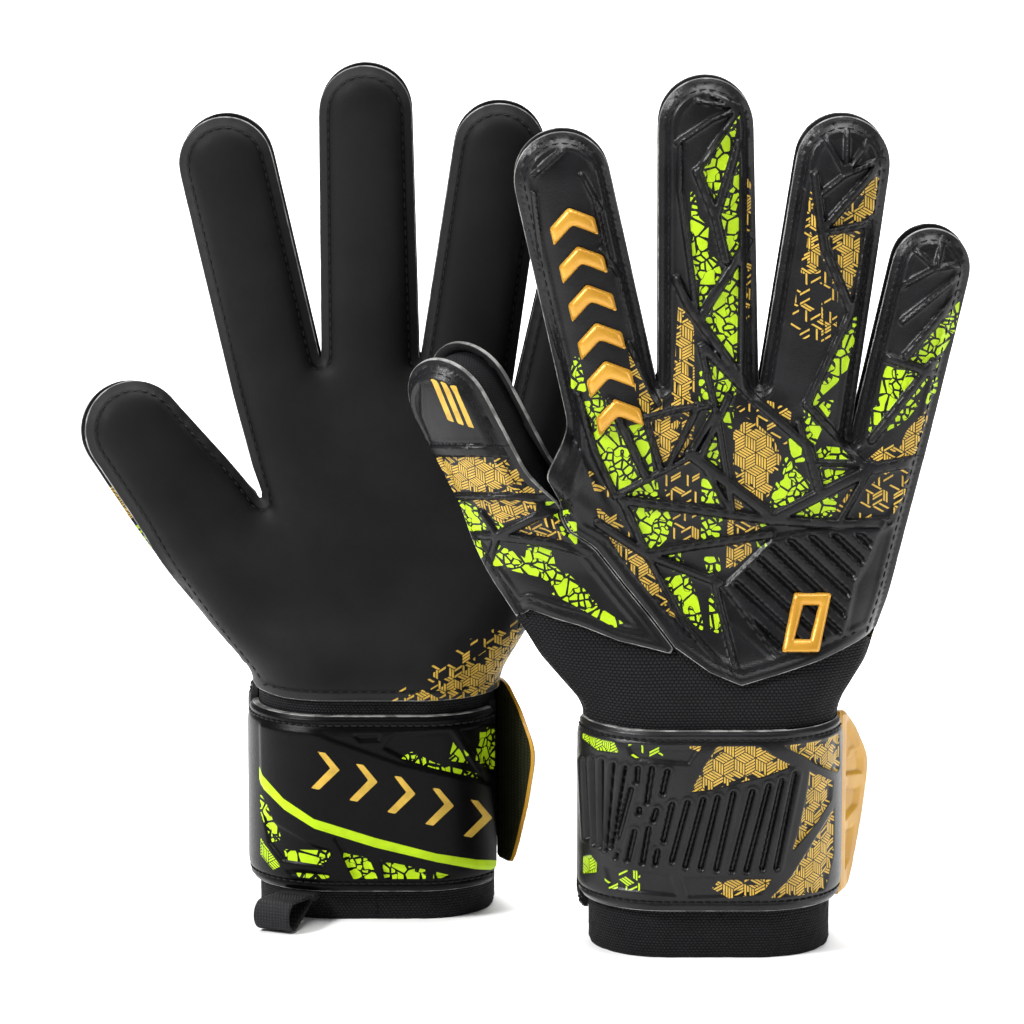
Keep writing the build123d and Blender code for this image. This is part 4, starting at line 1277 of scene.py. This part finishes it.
def build_loop(glove):
    """Webbing folded into a loop below the strap, and its two ends sewn to the cuff. The loop's path and the tail's
    box are in lengths out from the cuff and up."""
    (ro, rh), rr = LOOP_ROOT
    (to, th), tr = LOOP_TIP
    axis = math.atan2(th - rh, to - ro)
    lean = math.asin((tr - rr) / math.hypot(to - ro, th - rh))
    half, wall = LOOP_WIDTH / 2, LOOP_WALL / 2
    path = []
    for angle in np.linspace(axis + math.pi / 2 + lean, axis + 1.5 * math.pi - lean, 9):
        path.append((ro + (rr - wall) * math.cos(angle), rh + (rr - wall) * math.sin(angle)))
    for angle in np.linspace(axis - math.pi / 2 - lean, axis + math.pi / 2 + lean, 25):
        path.append((to + (tr - wall) * math.cos(angle), th + (tr - wall) * math.sin(angle)))
    path = resample(path, LOOP_STEP)
    tangent = np.roll(path, -1, 0) - np.roll(path, 1, 0)
    normal = rightward(tangent / np.hypot(*tangent.T)[:, None])
    section = [(half, 0.0), (half - 0.25, 0.72 * wall), (half - 0.9, wall)]
    section += [(w, wall * (0.9 + 0.1 * math.cos(w * 4))) for w in np.linspace(half - 1.8, -half + 1.8, 13)]
    section += [(-half + 0.9, wall), (-half + 0.25, 0.72 * wall), (-half, 0.0)]
    section = section + [(w, -h) for w, h in section[-2:0:-1]]
    origin_u = -(HALF_WIDTH - CORNER) - CORNER * math.sin(LOOP_ANGLE)
    origin_t = -(HALF_DEPTH - CORNER) - CORNER * math.cos(LOOP_ANGLE)

    def world(out, height, across):
        u = origin_u - out * math.sin(LOOP_ANGLE) + across * math.cos(LOOP_ANGLE)
        t = origin_t - out * math.cos(LOOP_ANGLE) - across * math.sin(LOOP_ANGLE)
        return glove.world(u, height, t)

    points, flat = [], []
    for i, ((out, height), (no, nh)) in enumerate(zip(path, normal)):
        for w, h in section:
            points.append(world(out + no * h, height + nh * h, w))
            flat.append((w, i * LOOP_STEP))
    faces = [face[::glove.back] for face in tube_faces(len(path), len(section), caps=False, wrap=True)]
    piece = make(f"{glove.name}_pull_loop", np.array(points), faces, WEBBING, {"flat": flat_field(np.array(flat))})
    own(piece, glove, "pull_loop", body=glove.loop_body)

    points = []
    for w in TAIL_WIDTHS:
        pinch = TAIL_PINCH if abs(w) == max(TAIL_WIDTHS) else 0.0
        for out, height in TAIL_BOX:
            points.append(world(max(out - pinch, 0.05), TAIL_MIDDLE + (height - TAIL_MIDDLE) * (1 - pinch), w))
    faces = [face[::-glove.back] for face in tube_faces(len(TAIL_WIDTHS), len(TAIL_BOX))]
    piece = make(f"{glove.name}_loop_tail", np.array(points), faces, WEBBING)
    own(piece, glove, "loop_tail")


# Raised badges


def puffed(glove, ring, back, rise, lift=0.1, hole=None):
    """A raised shape on the backhand, crowned like a pressed film, with an optional hole. lift is its height
    at the edge."""
    ring = soften(resample(ring, 0.45), 1.2)
    border = Field(ring)
    flat, faces = fill(ring, border, 0.5)
    edge = np.maximum(border(flat), 0)
    if hole is not None:
        rim = resample(hole, 0.1)
        close = np.flatnonzero(np.abs(signed_distance(flat, hole)) < 0.28)
        flat[close] = rim[np.hypot(*(flat[close, None] - rim[None]).transpose(2, 0, 1)).argmin(1)]
        edge = np.minimum(edge, np.maximum(-signed_distance(flat, hole), 0))
        faces = faces[signed_distance(flat[faces].mean(1), hole) < 0]
        used = np.unique(faces)
        index = np.full(len(flat), -1)
        index[used] = np.arange(len(used))
        flat, faces, edge = flat[used], index[faces], edge[used]
    under = back.base(flat) - 0.4
    over = back.base(flat) + rise * np.sqrt(np.clip(1 - (1 - np.clip(edge / 2.2, 0, 1)) ** 2, 0, 1)) + lift
    return glove.place(flat, over), glove.place(flat, under), faces, flat


def joined(glove, name, parts):
    """Several closed shells as one piece."""
    base, points, all_faces, flats = 0, [], [], []
    for over, under, faces, flat in parts:
        for part in closed(faces, len(over), glove.back > 0):
            all_faces += [*(part + base)]
        points += [over, under]
        flats += [flat, flat]
        base += 2 * len(over)
    return make(name, np.vstack(points), all_faces, BADGE_GOLD, {"flat": flat_field(np.vstack(flats))})


CHEVRON = [(-7.3, -4.8), (0, 0.4), (7.3, -4.8), (7.3, 0.9), (0, 6.0), (-7.3, 0.9)]
CHEVRONS, CHEVRON_START, CHEVRON_PITCH = 6, 3, 12.5
BADGE_AT = (30.0, 102.0)
BADGE_RING = [(-8, -9), (4, -9), (8, 9), (-4, 9)]
BADGE_HOLE = [(-3.9, -5.2), (1.1, -5.2), (3.9, 5.2), (-1.1, 5.2)]


def build_badges(glove, back):
    """Plain chevrons up the index finger, and a plain rhombic ring on the back of the hand."""
    root, along, across = axis_of(INDEX)
    shapes = []
    for n in range(CHEVRONS):
        ring = [root + a * across + (CHEVRON_START + CHEVRON_PITCH * n + b) * along for a, b in CHEVRON]
        shapes.append(puffed(glove, ring, back, 1.5))
    own(joined(glove, f"{glove.name}_index_badge", shapes), glove, "index_badge")

    ring = puffed(glove, np.add(BADGE_RING, BADGE_AT), back, 1.1, 0.75, np.add(BADGE_HOLE, BADGE_AT))
    own(joined(glove, f"{glove.name}_back_badge", [ring]), glove, "back_badge")


def keep_patches(glove):
    """Gives the hook and loop patches, which stay as their CAD solids, a cloth finish."""
    for node, material in (("loop_patch", LOOP_PILE), ("hook_patch", HOOKS)):
        mesh = frame["nodes"][f"{glove.name}_{node}"].data
        mesh.materials.clear()
        mesh.materials.append(material)


for glove in (LEFT, RIGHT):
    back = build_hand(glove)
    build_gussets(glove)
    build_cuff(glove)
    build_strap(glove)
    build_tab(glove)
    build_loop(glove)
    build_badges(glove, back)
    keep_patches(glove)


# Stage, light and camera

low, high = CAD_BOX
middle = (low + high) / 2


def stage():
    """A pale floor, wide enough to fill the picture behind the pair."""
    points = [(x, y, 0.0) for y in (-7.0, 7.0) for x in (-7.0, 7.0)]
    f = Finish("backdrop", (0.93, 0.93, 0.93), 0.9)
    f.set("Base Color", f.mix(f.noise(1.5, 1), (0.92, 0.92, 0.92), (0.94, 0.94, 0.94)))
    make("backdrop", np.array(points), [[0, 1, 3, 2]], f.material)


def area_light(name, place, size, power, aim):
    light = bpy.data.lights.new(name, "AREA")
    light.shape, light.size, light.size_y, light.energy = "RECTANGLE", size[0], size[1], power
    lamp = bpy.data.objects.new(name, light)
    lamp.location = place
    lamp.rotation_mode = "QUATERNION"
    lamp.rotation_quaternion = (Vector(aim) - Vector(place)).to_track_quat("-Z", "Y")
    bpy.context.scene.collection.objects.link(lamp)


stage()
area_light("key", (-1.35, -0.75, 1.4), (0.5, 0.5), 50, middle)
area_light("fill", (1.6, -0.6, 0.6), (0.4, 1.2), 9, middle)
area_light("top", (0.1, 0.1, 1.7), (1.2, 0.8), 30, middle)
area_light("back", (0.0, 2.6, 2.2), (3.4, 2.6), 260, (0, 2.9, 0))

scene = bpy.context.scene
world = bpy.data.worlds.new("studio")
world.use_nodes = True
world.node_tree.nodes["Background"].inputs["Color"].default_value = (1, 1, 1, 1)
world.node_tree.nodes["Background"].inputs["Strength"].default_value = 0.25
scene.world = world
scene.view_settings.view_transform = "Standard"
scene.view_settings.look = "None"

CAMERA_DISTANCE, CAMERA_ELEVATION, VIEW_WIDTH = 1.7, math.radians(10.5), 0.333
CAMERA_TARGET, SENSOR = (-0.002, 0.0, 0.136), 36
camera = bpy.data.cameras.new("camera")
camera.sensor_width = SENSOR
camera.lens = SENSOR * CAMERA_DISTANCE / VIEW_WIDTH
eye = bpy.data.objects.new("camera", camera)
target = Vector(CAMERA_TARGET)
eye.location = target + CAMERA_DISTANCE * Vector((0, -math.cos(CAMERA_ELEVATION), math.sin(CAMERA_ELEVATION)))
eye.rotation_mode = "QUATERNION"
eye.rotation_quaternion = (target - eye.location).to_track_quat("-Z", "Y")
scene.collection.objects.link(eye)
scene.camera = eye
